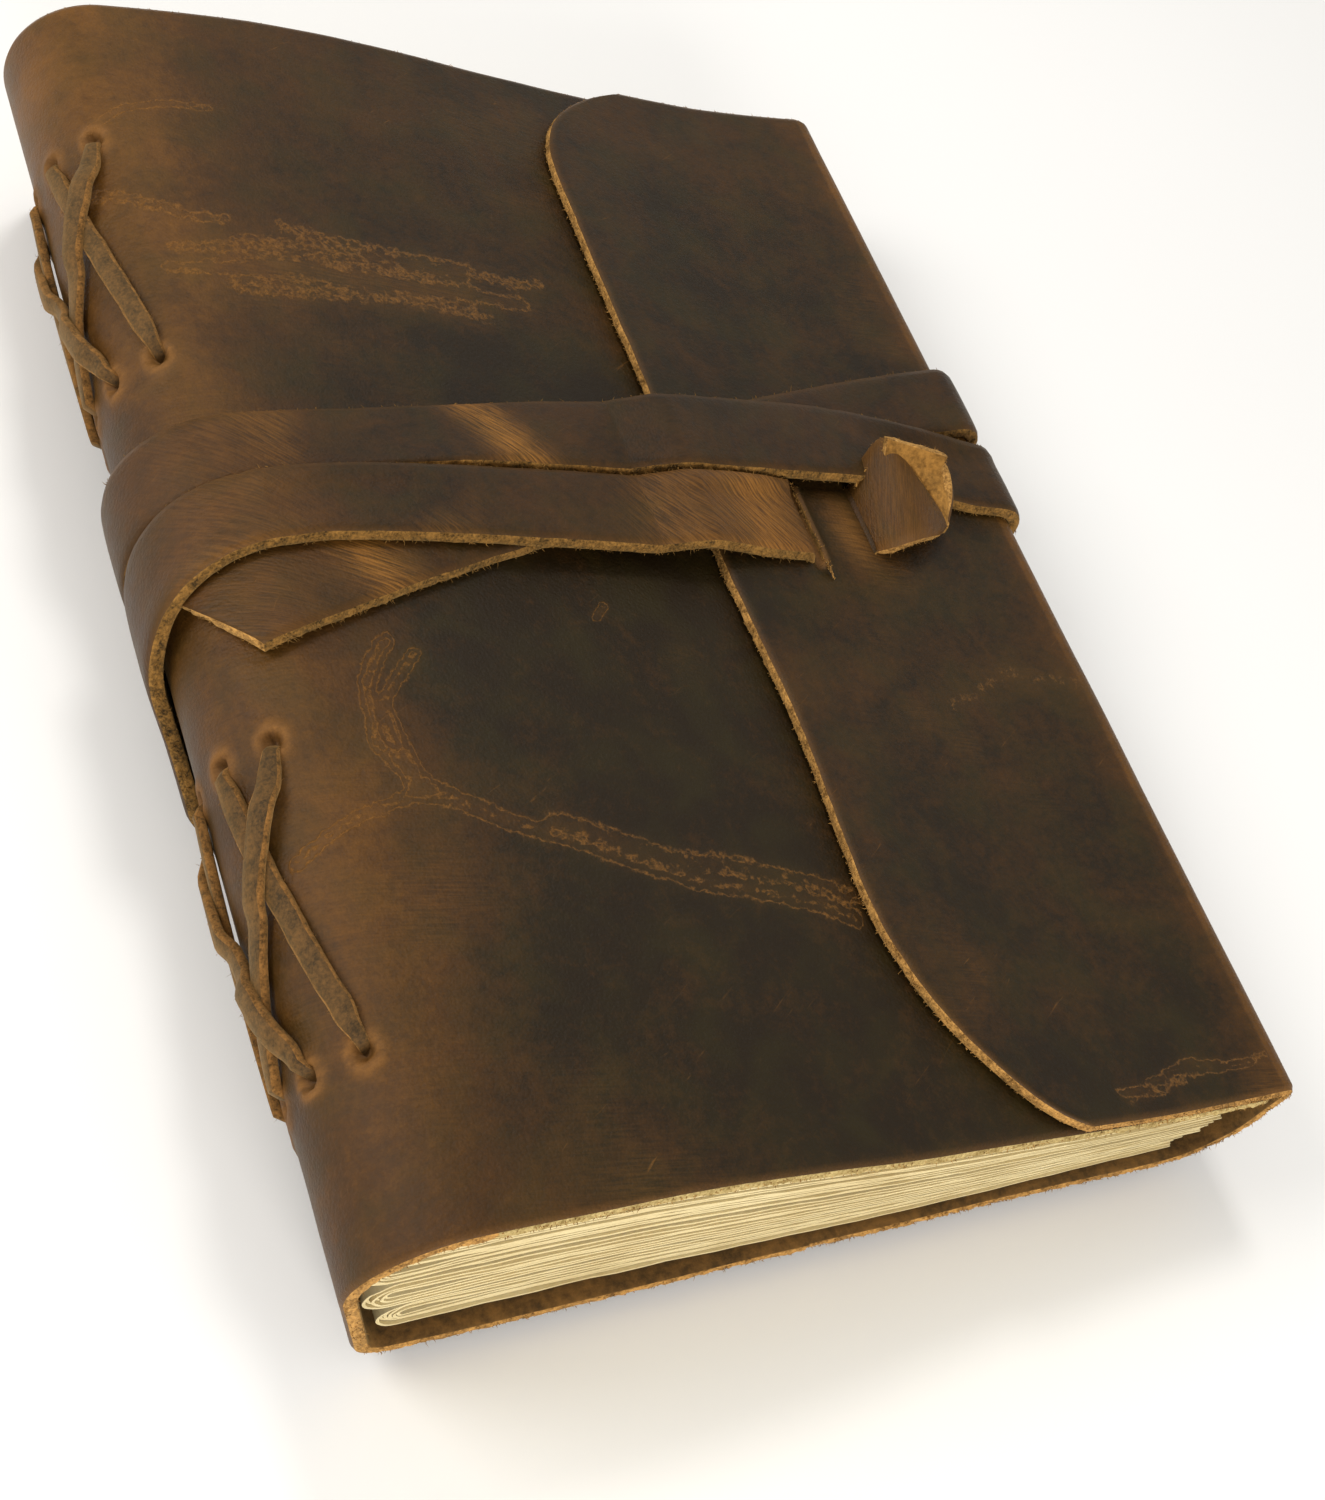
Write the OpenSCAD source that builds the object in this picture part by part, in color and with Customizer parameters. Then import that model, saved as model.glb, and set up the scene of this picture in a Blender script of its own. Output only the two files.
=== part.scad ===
// Leather wrap journal: a one-piece leather cover with a fold-over flap, laced spine, four paper
// signatures and a strap that is knotted on the flap and wound twice round the closed book.
// The working frame has X from the spine to the fore-edge, Y from the tail to the head and Z up from
// the back cover. Every node is moved from it to the centre of the part's footprint by placed().

/* [Cover] */
// Length of the cover from tail to head
cover_len = 178; // [176:1:184]
// Width of the front from the spine hinge to the fore-edge
panel_w = 123; // [121:1:127]
// Height of the closed cover at the spine
spine_h = 34.8; // [34.4:0.1:35.4]
// Height of the closed cover at the fore-edge fold
fore_h = 21.3; // [21:0.1:22]
// Thickness of the cover leather
leather = 2; // [1.8:0.1:2]
// Radius of the spine where it rolls over to the front
spine_r = 11.3; // [11:0.1:11.5]
// Radius of the roll from the spine to the back
foot_r = 5; // [4.8:0.1:5.2]
// Radius of the roll from the back to the fore-edge
fore_r = 11; // [10:0.5:12]

/* [Flap] */
// Depth of the flap from the fore-edge fold to its free edge
flap_w = 57; // [54:1:60]
// Width of the rounded corners of the flap
corner_w = 17; // [12:1:20]
// Length of the rounded corner at the tail
tail_corner = 36; // [24:1:40]
// Length of the rounded corner at the head
head_corner = 26; // [18:1:30]

/* [Strap] */
// Width of the strap
strap_w = 12; // [11.5:0.1:12]
// Thickness of the strap
strap_t = 2; // [1.6:0.1:2]

/* [Pages] */
// Distance from the ends of the pages to the ends of the cover
recess = 2.3; // [2:0.1:4]
// Gap between neighbouring signatures
page_gap = 0.24; // [0.2:0.02:0.4]

/* [Lacing] */
// Width of the lacing thong
thong_w = 3.2; // [2.6:0.1:3.3]
// Thickness of the lacing thong
thong_t = 1.2; // [1:0.1:1.2]
// Spacing of the lacing holes round the spine
pitch = 6.9; // [6.8:0.1:7]

/* [Hidden] */
$fn = 96;

// Colours
hide = [0.24, 0.17, 0.08];
hide_light = [0.36, 0.25, 0.13];
thong_tan = [0.52, 0.37, 0.19];
cream = [0.93, 0.89, 0.75];

// Clearances
skin_gap = 0.15;                       // between leather faces that lie on each other
hinge_gap = 0.3;                       // between the spine and the front panel
layer = strap_t + skin_gap + skin_gap; // height of the second layer of strap
slack = 1.0;                           // how far the strap stands off the middle of the spine

// Key positions
hinge_x = 3.5;
fore_x = hinge_x + panel_w;
flap_x = fore_x - flap_w;
roll = [6, spine_h - spine_r];         // centre of the spine's roll to the front
foot = [5.4, foot_r];                  // centre of the spine's roll to the back
heel = [fore_x - fore_r, fore_r];      // centre of the fore-edge roll
front_fore_h = fore_h - leather - skin_gap;
lift = strap_t + skin_gap;             // the strap's back lengths are under the cover
left_x = roll[0] - spine_r - slack - strap_t;
right_x = fore_x + skin_gap + strap_t;
mid_x = (left_x + right_x) / 2;

// Angle at which the straight part of the spine leaves both rolls
roll_run = norm(roll - foot);
roll_slope = atan2(roll[1] - foot[1], roll[0] - foot[0]);
side_angle = roll_slope + acos((foot_r - spine_r) / roll_run);

// Top of the front panel at x: the end of the roll, then a smooth slope down to the fore-edge
function front_top(x) = x < roll[0]
    ? roll[1] + sqrt(pow(spine_r, 2) - pow(x - roll[0], 2))
    : front_fore_h + (spine_h - front_fore_h)
        * (1 + cos(180 * min(1, (x - roll[0]) / (fore_x - roll[0])))) / 2;

// Surface that the strap lies on at x, with a ramp that ends just before the flap
ramp = 8;
ramp_end = flap_x - 3;
function strap_base(x) = front_top(x)
    + (leather + skin_gap) * min(1, max(0, (x - ramp_end + ramp) / ramp));

// Point at an angle round a centre
function round_point(c, r, a) = c + r * [cos(a), sin(a)];

// Point and outward direction on the spine at a distance s round from the top of its roll
roll_len = spine_r * (side_angle - 90) * PI / 180;
function spine_dir(s) = s < roll_len
    ? [cos(90 + s / spine_r * 180 / PI), sin(90 + s / spine_r * 180 / PI)]
    : [cos(side_angle), sin(side_angle)];
function spine_point(s) = s < roll_len
    ? roll + spine_r * spine_dir(s)
    : roll + spine_r * spine_dir(s) + (s - roll_len) * [-sin(side_angle), cos(side_angle)];

module placed() {
    translate([-mid_x, -cover_len / 2, lift]) children();
}

// Extrudes an X-Z outline along Y
module along_y(y0, y1) {
    translate([0, y1, 0]) rotate([90, 0, 0]) linear_extrude(height = y1 - y0) children();
}

// Keeps only what lies over a plan outline
plan_depth = 80;
module over_plan(points) {
    intersection() {
        children();
        translate([0, 0, -plan_depth / 4]) linear_extrude(height = plan_depth) polygon(points);
    }
}

// Keeps only what lies inside an outline seen along X, given as [y, z] points
module beside_plan(points) {
    intersection() {
        children();
        translate([-plan_depth / 2, 0, 0]) rotate([90, 0, 90])
            linear_extrude(height = plan_depth) polygon(points);
    }
}

// ---- Cover ----

// Points on an arc round a centre, from one angle to another
function arc(centre, r, from, to, steps) =
    [for (i = [0:steps]) round_point(centre, r, from + (to - from) * i / steps)];

// Angle at which a round of radius r about the spine's roll is directly over the hinge
function hinge_angle(r) = acos((hinge_x - roll[0]) / r);

roll_steps = 20;
foot_steps = 10;
module spine_section() {
    in_roll = spine_r - leather;
    in_foot = foot_r - leather;
    polygon(concat(
        arc(roll, spine_r, hinge_angle(spine_r), side_angle, roll_steps),
        arc(foot, foot_r, side_angle, 270, foot_steps),
        arc(foot, in_foot, 270, side_angle, foot_steps),
        arc(roll, in_roll, side_angle, hinge_angle(in_roll), roll_steps)
    ));
}

// Distances round the spine of the four holes in a row, and the rows' places along Y
first_hole = 5.5;
function hole_s(n) = first_hole + (n - 1) * pitch;
tail_rows = [22, 59.8];
head_rows = [116, 153];
hole_r = 1.25;
leg_r = 1.1;

// Round rod through the spine leather at one hole
module through_spine(s, y, r, from, to) {
    p = spine_point(s);
    d = spine_dir(s);
    translate([p[0] + from * d[0], y, p[1] + from * d[1]])
        rotate([0, 90 - atan2(d[1], d[0]), 0]) cylinder(r = r, h = to - from);
}

module spine_panel() {
    color(hide_light) placed() difference() {
        along_y(0, cover_len) spine_section();
        for (y = concat(tail_rows, head_rows), n = [1:4])
            through_spine(hole_s(n), y, hole_r, -leather - 1, 1);
    }
}

module back_panel() {
    color(hide) placed() translate([foot[0], 0, 0]) cube([heel[0] - foot[0], cover_len, leather]);
}

front_x0 = hinge_x + hinge_gap;
front_x1 = fore_x - leather - 0.6;
front_steps = 24;
front_xs = [for (i = [0:front_steps]) front_x0 + (front_x1 - front_x0) * i / front_steps];

module front_panel() {
    color(hide) placed() along_y(0, cover_len) polygon(concat(
        [for (x = front_xs) [x, front_top(x)]],
        [for (i = [front_steps:-1:0]) [front_xs[i], front_top(front_xs[i]) - leather]]
    ));
}

module fore_edge_turn() {
    color(hide) placed() along_y(0, cover_len) {
        intersection() {
            difference() {
                translate(heel) circle(r = fore_r);
                translate(heel) circle(r = fore_r - leather);
            }
            translate([heel[0], 0]) square([fore_r, fore_r]);
        }
        translate([fore_x - leather, fore_r]) square([leather, front_fore_h - fore_r + 0.1]);
    }
}

// ---- Flap, with the two slits for the strap and a pressed seat for it underneath ----

slit_x = [86.6, 97.5];
slit_w = strap_t + 0.2;
slit_y = [84.7, 84.7 + strap_w + 0.2];
seat_depth = 1;
flap_steps = 14;
flap_xs = [for (i = [0:flap_steps]) flap_x + flap_w * i / flap_steps];
corner_steps = 10;
tail_power = 2.2;                      // how sharply each corner turns in
head_power = 3;

flap_plan = concat(
    [[fore_x, 0]],
    [for (i = [0:corner_steps]) let (t = i / corner_steps)
        [flap_x + corner_w * pow(1 - t, tail_power), tail_corner * t]],
    [for (i = [0:corner_steps]) let (t = i / corner_steps)
        [flap_x + corner_w * pow(t, head_power), cover_len - head_corner * (1 - t)]],
    [[fore_x, cover_len]]
);

module flap_section(low, high) {
    polygon(concat(
        [for (x = flap_xs) [x, front_top(x) + high]],
        [for (i = [flap_steps:-1:0]) [flap_xs[i], front_top(flap_xs[i]) + low]]
    ));
}

module strip_under_flap(x0, x1, low, high) {
    polygon([
        [x0, front_top(x0) + low], [x1, front_top(x1) + low],
        [x1, front_top(x1) + high], [x0, front_top(x0) + high]
    ]);
}

module flap() {
    color(hide) placed() difference() {
        over_plan(flap_plan)
            along_y(0, cover_len) flap_section(skin_gap, skin_gap + leather);
        along_y(slit_y[0], slit_y[1])
            strip_under_flap(slit_x[0] - slit_w / 2, slit_x[1] + slit_w / 2,
                -1, skin_gap + seat_depth);
        for (x = slit_x)
            translate([x - slit_w / 2, slit_y[0], 0])
                cube([slit_w, slit_y[1] - slit_y[0], spine_h]);
    }
}

// ---- Signatures ----

// Centre of each fold, how far each signature reaches, and the half thickness of a fold
block_low = leather + 0.3;
block_high = spine_h - leather - 0.35;
fold_step = (block_high - block_low) / 4;
fold_x = [5, 1.8, 3.5, 7];
reach_x = [fore_x - 5, fore_x - 5, fore_x - 6, fore_x - 8.5];
fold_r = fold_step / 2 - page_gap / 2;
round_in = 0.05;                       // the round of the fold is this much inside the pages
fold_steps = 12;
function fold_z(n) = block_high - fold_step * (n - 0.5);

function block_top(x) = front_top(max(x, roll[0])) - leather - 0.35;
function level(x, k) = block_low + (block_top(x) - block_low) * (4 - k) / 4;
page_steps = 16;

// Thong inside the fold, with its two legs out to the spine; grow gives it clearance
run_h = 1.2;
module inner_run(n, rows, grow) {
    x0 = fold_x[n - 1];
    z0 = fold_z(n);
    translate([x0 - 0.6 - grow, rows[0] - thong_w / 2 - grow, z0 - run_h / 2 - grow])
        cube([thong_w + 2 * grow, rows[1] - rows[0] + thong_w + 2 * grow, run_h + 2 * grow]);
    for (y = rows)
        translate([x0 - fold_r - grow, y - thong_w / 2 - grow, z0 - run_h / 2 - grow])
            cube([fold_r + 1, thong_w + 2 * grow, run_h + 2 * grow]);
}

module signature(n) {
    x0 = fold_x[n - 1];
    x1 = reach_x[n - 1];
    xs = [for (i = [0:page_steps]) x0 + (x1 - x0) * i / page_steps];
    color(cream) placed() difference() {
        along_y(recess, cover_len - recess) polygon(concat(
            [for (x = xs) [x, level(x, n - 1) - page_gap / 2]],
            [for (i = [page_steps:-1:0]) [xs[i], level(xs[i], n) + page_gap / 2]],
            arc([x0, fold_z(n)], fold_r - round_in, 260, 100, fold_steps)
        ));
        inner_run(n, tail_rows, 0.1);
        inner_run(n, head_rows, 0.1);
    }
}

module stitch(n, rows) {
    color(thong_tan) placed() inner_run(n, rows, 0);
}

module signature_1() { signature(1); }
module signature_2() { signature(2); }
module signature_3() { signature(3); }
module signature_4() { signature(4); }
module tail_stitch_1() { stitch(1, tail_rows); }
module tail_stitch_2() { stitch(2, tail_rows); }
module tail_stitch_3() { stitch(3, tail_rows); }
module tail_stitch_4() { stitch(4, tail_rows); }
module head_stitch_1() { stitch(1, head_rows); }
module head_stitch_2() { stitch(2, head_rows); }
module head_stitch_3() { stitch(3, head_rows); }
module head_stitch_4() { stitch(4, head_rows); }

// ---- Lacing on the outside of the spine ----

// Height of a thong over the leather at a fraction u of its length, from its list of crossings
low_h = 0.12;
rise = thong_t + 0.15;
function thong_h(u, over) = low_h + rise * max([for (c = over)
    min(1, max(0, (c[1] - abs(u - c[0])) / 0.1))]);

// Four corners of the thong's section at a fraction u of its length
function thong_ring(from, to, rows, over, u) =
    let (s = hole_s(from) + (hole_s(to) - hole_s(from)) * u,
         y = rows[1] + (rows[0] - rows[1]) * u,
         ds = hole_s(to) - hole_s(from),
         dy = rows[0] - rows[1],
         run = norm([ds, dy]),
         p = spine_point(s),
         d = spine_dir(s),
         t = [-d[1], d[0]],
         w = [t[0] * dy / run, -ds / run, t[1] * dy / run] * thong_w / 2,
         h = thong_h(u, over),
         low = [p[0] + h * d[0], y, p[1] + h * d[1]],
         up = [d[0], 0, d[1]] * thong_t)
    [low - w, low + w, low + w + up, low - w + up];

thong_steps = 20;
module thong(from, to, rows, over) {
    rings = [for (i = [0:thong_steps]) each thong_ring(from, to, rows, over, i / thong_steps)];
    sides = [for (i = [0:thong_steps - 1], k = [0:3])
        let (a = 4 * i + k, b = 4 * i + (k + 1) % 4)
            each [[a, a + 4, b], [b, a + 4, b + 4]]];
    last = 4 * thong_steps;
    polyhedron(rings, concat(
        [[0, 1, 2, 3]], sides, [[last + 3, last + 2, last + 1, last]]
    ));
}

module lace(from, to, rows, over) {
    color(thong_tan) placed() {
        thong(from, to, rows, over);
        through_spine(hole_s(from), rows[1], leg_r, -leather - 0.1, 0.8);
        through_spine(hole_s(to), rows[0], leg_r, -leather - 0.1, 0.8);
    }
}

// Each crossing is [fraction of the length, half of the stretch that is raised]
cross_near = [1 / 3, 0.3];
cross_far = [0.75, 0.24];
module tail_lace_1() { lace(1, 3, tail_rows, [cross_near]); }
module tail_lace_2() { lace(2, 1, tail_rows, [[0, 0]]); }
module tail_lace_3() { lace(3, 4, tail_rows, [[0, 0]]); }
module tail_lace_4() { lace(4, 2, tail_rows, [cross_near, cross_far]); }
module head_lace_1() { lace(1, 3, head_rows, [cross_near]); }
module head_lace_2() { lace(2, 1, head_rows, [[0, 0]]); }
module head_lace_3() { lace(3, 4, head_rows, [[0, 0]]); }
module head_lace_4() { lace(4, 2, head_rows, [cross_near, cross_far]); }

// ---- Strap ----

// Where the edges of each length lie along Y, as [tail side, head side]
slit_end = [84.8, 84.8 + strap_w];
lower_front = [82.4, 93.4];
lower_side = [75.2, 89.6];
lower_back = [67, 79.2];
lower_fore = [93, 93 + strap_w];
upper_knot = [98.4, 98.4 + strap_w];
upper_front = [93.8, 104.4];
upper_side = [90.2, 102.4];
upper_back = [80.4, 92.6];
side_z = 20;                           // height of the spine at which the side places are
upper_fore = [109, 109 + strap_w];
upper_knot_x = 111;
tail_bend = [32, 81.5];
tail_point = [1.6, 70.7];
tail_corner_point = [-1.5, 79];

strap_steps = 48;
function strap_xs(x0, x1) = [for (i = [0:strap_steps]) x0 + (x1 - x0) * i / strap_steps];

// X-Z outline of a length on the front, from x0 to x1, standing off by low
module front_strap_section(x0, x1, low) {
    xs = strap_xs(x0, x1);
    polygon(concat(
        [for (x = xs) [x, strap_base(x) + low + strap_t]],
        [for (i = [strap_steps:-1:0]) [xs[i], strap_base(xs[i]) + low]]
    ));
}

// How far the strap stands off the spine at an angle round the roll
function roll_off(a) = a < 150 ? layer
    : a < 180 ? layer + (slack - layer) * (a - 150) / 30
    : max(skin_gap, slack + (skin_gap - slack) * (a - 180) / 20);

roll_as = concat([for (a = [90:7.5:180]) a], [side_angle]);
foot_as = [for (i = [0:6]) side_angle + (270 - side_angle) * i / 6];
module spine_strap_section() {
    inner = concat(
        [for (a = roll_as) round_point(roll, spine_r + roll_off(a), a)],
        [for (a = foot_as) round_point(foot, foot_r + skin_gap, a)]
    );
    outer = concat(
        [for (a = roll_as) round_point(roll, spine_r + roll_off(a) + strap_t, a)],
        [for (a = foot_as) round_point(foot, foot_r + skin_gap + strap_t, a)]
    );
    last = len(outer) - 1;
    polygon(concat(inner, [for (i = [last:-1:0]) outer[i]]));
}

// Length round the fore-edge, up to the height at which it turns on to the front
module fore_strap_section(top) {
    r0 = fore_r + skin_gap;
    intersection() {
        difference() {
            translate(heel) circle(r = r0 + strap_t);
            translate(heel) circle(r = r0);
        }
        translate([heel[0], -fore_r]) square([2 * fore_r, 2 * fore_r]);
    }
    translate([fore_x + skin_gap, fore_r]) square([strap_t, top - fore_r]);
}

module spine_strap(front, side, back) {
    over_top = spine_h + 3 * strap_t;
    under = -lift - 1;
    color(hide_light) placed()
        beside_plan([
            [front[0], spine_h], [side[0], side_z], [back[0], 0], [back[0], under],
            [back[1], under], [back[1], 0], [side[1], side_z], [front[1], spine_h],
            [front[1], over_top], [front[0], over_top]
        ])
            along_y(0, cover_len) spine_strap_section();
}

module back_strap(spine_side, fore_side) {
    color(hide) placed() translate([0, 0, -lift]) linear_extrude(height = strap_t) polygon([
        [foot[0], spine_side[0]], [heel[0], fore_side[0]],
        [heel[0], fore_side[1]], [foot[0], spine_side[1]]
    ]);
}

module strap_front_lower() {
    x1 = slit_x[0] - strap_t / 2 - 0.2;
    color(hide_light) placed()
        over_plan([
            [roll[0], lower_front[0]], [x1, slit_end[0]], [x1, slit_end[1]],
            [roll[0], lower_front[1]]
        ])
            along_y(0, cover_len) front_strap_section(roll[0], x1, layer);
}
module strap_spine_lower() { spine_strap(lower_front, lower_side, lower_back); }
module strap_back_lower() { back_strap(lower_back, lower_fore); }
module strap_fore_lower() {
    color(hide) placed() along_y(lower_fore[0], lower_fore[1])
        fore_strap_section(fore_h + layer + strap_t);
}

module strap_front_upper() {
    x1 = fore_x + skin_gap;
    color(hide_light) placed()
        over_plan([
            [roll[0], upper_front[0]], [upper_knot_x, upper_knot[0]], [x1, lower_fore[0]],
            [x1, lower_fore[1]], [upper_knot_x, upper_knot[1]], [roll[0], upper_front[1]]
        ])
            along_y(0, cover_len) front_strap_section(roll[0], x1, layer);
}
module strap_spine_upper() { spine_strap(upper_front, upper_side, upper_back); }
module strap_back_upper() { back_strap(upper_back, upper_fore); }
module strap_fore_upper() {
    color(hide) placed() along_y(upper_fore[0], upper_fore[1])
        fore_strap_section(fore_h + skin_gap + strap_t);
}

// Last length: slants under both bands and ends in an angled cut near the spine
tail_as = [for (a = [90:10:140]) a];
module strap_tail() {
    x1 = fore_x + skin_gap;
    xs = strap_xs(roll[0], x1);
    near = len(tail_as) - 1;
    color(hide_light) placed()
        over_plan([
            [x1, upper_fore[0]], tail_bend, tail_point, tail_corner_point,
            tail_bend + [0, strap_w + 0.6], [x1, upper_fore[1]]
        ])
            along_y(0, cover_len) polygon(concat(
                [for (i = [near:-1:0]) round_point(roll, spine_r + skin_gap + strap_t, tail_as[i])],
                [for (i = [1:strap_steps]) [xs[i], strap_base(xs[i]) + skin_gap + strap_t]],
                [for (i = [strap_steps:-1:1]) [xs[i], strap_base(xs[i]) + skin_gap]],
                [for (i = [0:near]) round_point(roll, spine_r + skin_gap, tail_as[i])]
            ));
}

// Strap under the flap, from the slit where the lower band starts to the slit under the knot
module strap_anchor() {
    color(hide_light) placed() along_y(slit_end[0], slit_end[1]) {
        x0 = slit_x[0] - strap_t / 2;
        x1 = slit_x[1] + strap_t / 2;
        over = skin_gap + leather;
        strip_under_flap(x0, x1, skin_gap + 0.05, skin_gap + seat_depth - 0.05);
        strip_under_flap(x0, x0 + strap_t, skin_gap + 0.05, over + layer + strap_t);
        strip_under_flap(x1 - strap_t, x1, skin_gap + 0.05, over + skin_gap);
    }
}

// ---- Knot on the flap ----

knot_size = [17.5, 12.8, 8.6];
knot_at = [103.9, 91.8];
knot_tilt = atan((front_top(95) - front_top(112)) / 17);

// One face of the folded strap in the knot
module knot_fold(at, turn, size) {
    translate(at) rotate(turn) cube(size, center = true);
}

module knot() {
    l = knot_size[0];
    w = knot_size[1];
    h = knot_size[2];
    color(hide_light) placed()
        translate([knot_at[0], knot_at[1], front_top(knot_at[0]) + 2 * skin_gap + leather + 0.15])
            rotate([0, knot_tilt, 0]) hull() {
                knot_fold([-l * 0.28, 0, h * 0.12], [0, 0, 0], [l * 0.42, w * 0.9, h * 0.24]);
                knot_fold([l * 0.22, 0, h * 0.16], [0, 0, 0], [l * 0.5, w * 0.86, h * 0.32]);
                knot_fold([-l * 0.05, 0, h * 0.6], [0, 0, 12], [l * 0.5, w * 0.5, h * 0.7]);
                knot_fold([l * 0.26, 0, h * 0.5], [0, 0, -12], [l * 0.3, w * 0.66, h * 0.66]);
            }
}

back_panel();
spine_panel();
front_panel();
fore_edge_turn();
flap();
signature_1();
signature_2();
signature_3();
signature_4();
tail_lace_1();
tail_lace_2();
tail_lace_3();
tail_lace_4();
head_lace_1();
head_lace_2();
head_lace_3();
head_lace_4();
tail_stitch_1();
tail_stitch_2();
tail_stitch_3();
tail_stitch_4();
head_stitch_1();
head_stitch_2();
head_stitch_3();
head_stitch_4();
strap_front_lower();
strap_spine_lower();
strap_back_lower();
strap_fore_lower();
strap_front_upper();
strap_spine_upper();
strap_back_upper();
strap_fore_upper();
strap_tail();
strap_anchor();
knot();
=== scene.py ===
import math

import bpy
import numpy as np
from mathutils import Matrix, Vector


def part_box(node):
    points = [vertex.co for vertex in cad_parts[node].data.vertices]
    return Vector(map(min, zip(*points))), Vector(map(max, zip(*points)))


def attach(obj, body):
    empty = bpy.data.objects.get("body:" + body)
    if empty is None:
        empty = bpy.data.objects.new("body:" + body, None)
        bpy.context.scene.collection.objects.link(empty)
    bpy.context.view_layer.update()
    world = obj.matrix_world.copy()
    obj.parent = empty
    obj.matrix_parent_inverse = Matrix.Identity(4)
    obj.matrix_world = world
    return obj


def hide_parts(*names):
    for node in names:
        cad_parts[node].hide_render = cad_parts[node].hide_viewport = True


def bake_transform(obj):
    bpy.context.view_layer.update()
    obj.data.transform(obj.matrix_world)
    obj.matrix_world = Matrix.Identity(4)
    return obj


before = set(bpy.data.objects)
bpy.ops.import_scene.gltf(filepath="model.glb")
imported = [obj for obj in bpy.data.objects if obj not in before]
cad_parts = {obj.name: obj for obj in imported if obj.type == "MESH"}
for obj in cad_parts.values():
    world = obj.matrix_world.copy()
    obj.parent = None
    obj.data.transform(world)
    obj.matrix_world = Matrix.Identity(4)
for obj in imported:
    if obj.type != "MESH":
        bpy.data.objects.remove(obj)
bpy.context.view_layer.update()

# ---------------------------------------------------------------- camera, light, floor
scene = bpy.context.scene
scene.view_settings.view_transform = "Standard"

cam = bpy.data.cameras.new("camera")
cam.lens = 50.85
cam.sensor_width = 36
cam_obj = bpy.data.objects.new("camera", cam)
scene.collection.objects.link(cam_obj)
right = Vector((0.877547, -0.327899, 0.349848)).normalized()
back = Vector((-0.469725, -0.441384, 0.764551)).normalized()
up = back.cross(right).normalized()
turn = Matrix((right, up, back)).transposed().to_4x4()
cam_obj.matrix_world = Matrix.Translation((-0.131412, -0.146695, 0.227812)) @ turn
cam.clip_start = 0.01
scene.camera = cam_obj

world = bpy.data.worlds.new("studio")
scene.world = world
world.use_nodes = True
world.node_tree.nodes["Background"].inputs["Color"].default_value = (1.0, 0.985, 0.95, 1)
world.node_tree.nodes["Background"].inputs["Strength"].default_value = 0.55


def area_light(name, at, to, size, power, colour=(1, 0.97, 0.92)):
    data = bpy.data.lights.new(name, "AREA")
    data.shape = "DISK"
    data.size = size
    data.energy = power
    data.color = colour
    obj = bpy.data.objects.new(name, data)
    obj.location = at
    obj.rotation_mode = "QUATERNION"
    obj.rotation_quaternion = (Vector(to) - Vector(at)).to_track_quat("-Z", "Y")
    scene.collection.objects.link(obj)


area_light("key", (-0.6, 0.2, 0.5), (0, 0, 0.02), 0.4, 3.0)
area_light("fill", (-0.15, -0.9, 0.3), (0, 0, 0.01), 0.5, 6.5)
area_light("along_the_spine", (0.03, 0.42, 0.85), (-0.05, 0, 0.03), 0.22, 2.2)

# ---------------------------------------------------------------- the book's own measures, mm
MM = 0.001
back_lo, back_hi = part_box("back_panel")
foot_x = 5.4
mid_x = foot_x - back_lo.x / MM            # x of the part's middle, measured from the spine
half_len = back_hi.y / MM
length = 2 * half_len                       # tail to head
lift = back_lo.z / MM                       # underside of the back over the table
leather = (back_hi.z - back_lo.z) / MM
panel_w = 123.0
hinge_x = 3.5
fore_x = hinge_x + panel_w
spine_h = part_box("front_panel")[1].z / MM - lift
fore_h = 21.3
gap = 0.15
spine_r, foot_r, heel_r, fold_r = 11.3, 5.0, 11.0, 3.0
roll = (6.0, spine_h - spine_r)
foot = (foot_x, foot_r)
heel = (fore_x - heel_r, heel_r)
front_fore_h = fore_h - leather - gap
fold = (fore_x - fold_r, fore_h - fold_r)
flap_free = 69.6
strap_t = 2.0
side_angle = math.degrees(math.atan2(roll[1] - foot[1], roll[0] - foot[0])
                          + math.acos((foot_r - spine_r) / math.dist(roll, foot)))


def to_frame(p):
    """Points in mm from the spine, tail and back to metres in the part's frame."""
    p = np.asarray(p, float)
    return (p + np.array([-mid_x, -half_len, lift])) * MM


def front_top(x):
    """Height of the front's outside at x, with the roll at the spine."""
    x = np.asarray(x, float)
    over = roll[1] + np.sqrt(np.maximum(spine_r ** 2 - (x - roll[0]) ** 2, 0))
    slope = front_fore_h + (spine_h - front_fore_h) * (
        1 + np.cos(np.pi * np.clip((x - roll[0]) / (fore_x - roll[0]), 0, 1))) / 2
    return np.where(x < roll[0], over, slope)


# ---------------------------------------------------------------- noise
def smooth(t):
    t = np.clip(t, 0, 1)
    return t * t * (3 - 2 * t)


def bump(x, at, width):
    return np.exp(-((x - at) / width) ** 2)


def noise(x, y, scale, seed):
    """Smooth noise from -1 to 1, the same on every run."""
    table = np.random.RandomState(seed).rand(64, 64) * 2 - 1
    u, v = np.asarray(x, float) / scale + 100, np.asarray(y, float) / scale + 100
    i, j = np.floor(u).astype(int), np.floor(v).astype(int)
    a, b = smooth(u - i), smooth(v - j)
    get = lambda p, q: table[p % 64, q % 64]
    return ((get(i, j) * (1 - a) + get(i + 1, j) * a) * (1 - b)
            + (get(i, j + 1) * (1 - a) + get(i + 1, j + 1) * a) * b)


def fractal(x, y, scale, seed, layers=4):
    total, weight = 0, 0
    for k in range(layers):
        total = total + noise(x, y, scale / 2 ** k, seed + k) / 1.7 ** k
        weight += 1 / 1.7 ** k
    return total / weight


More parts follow.
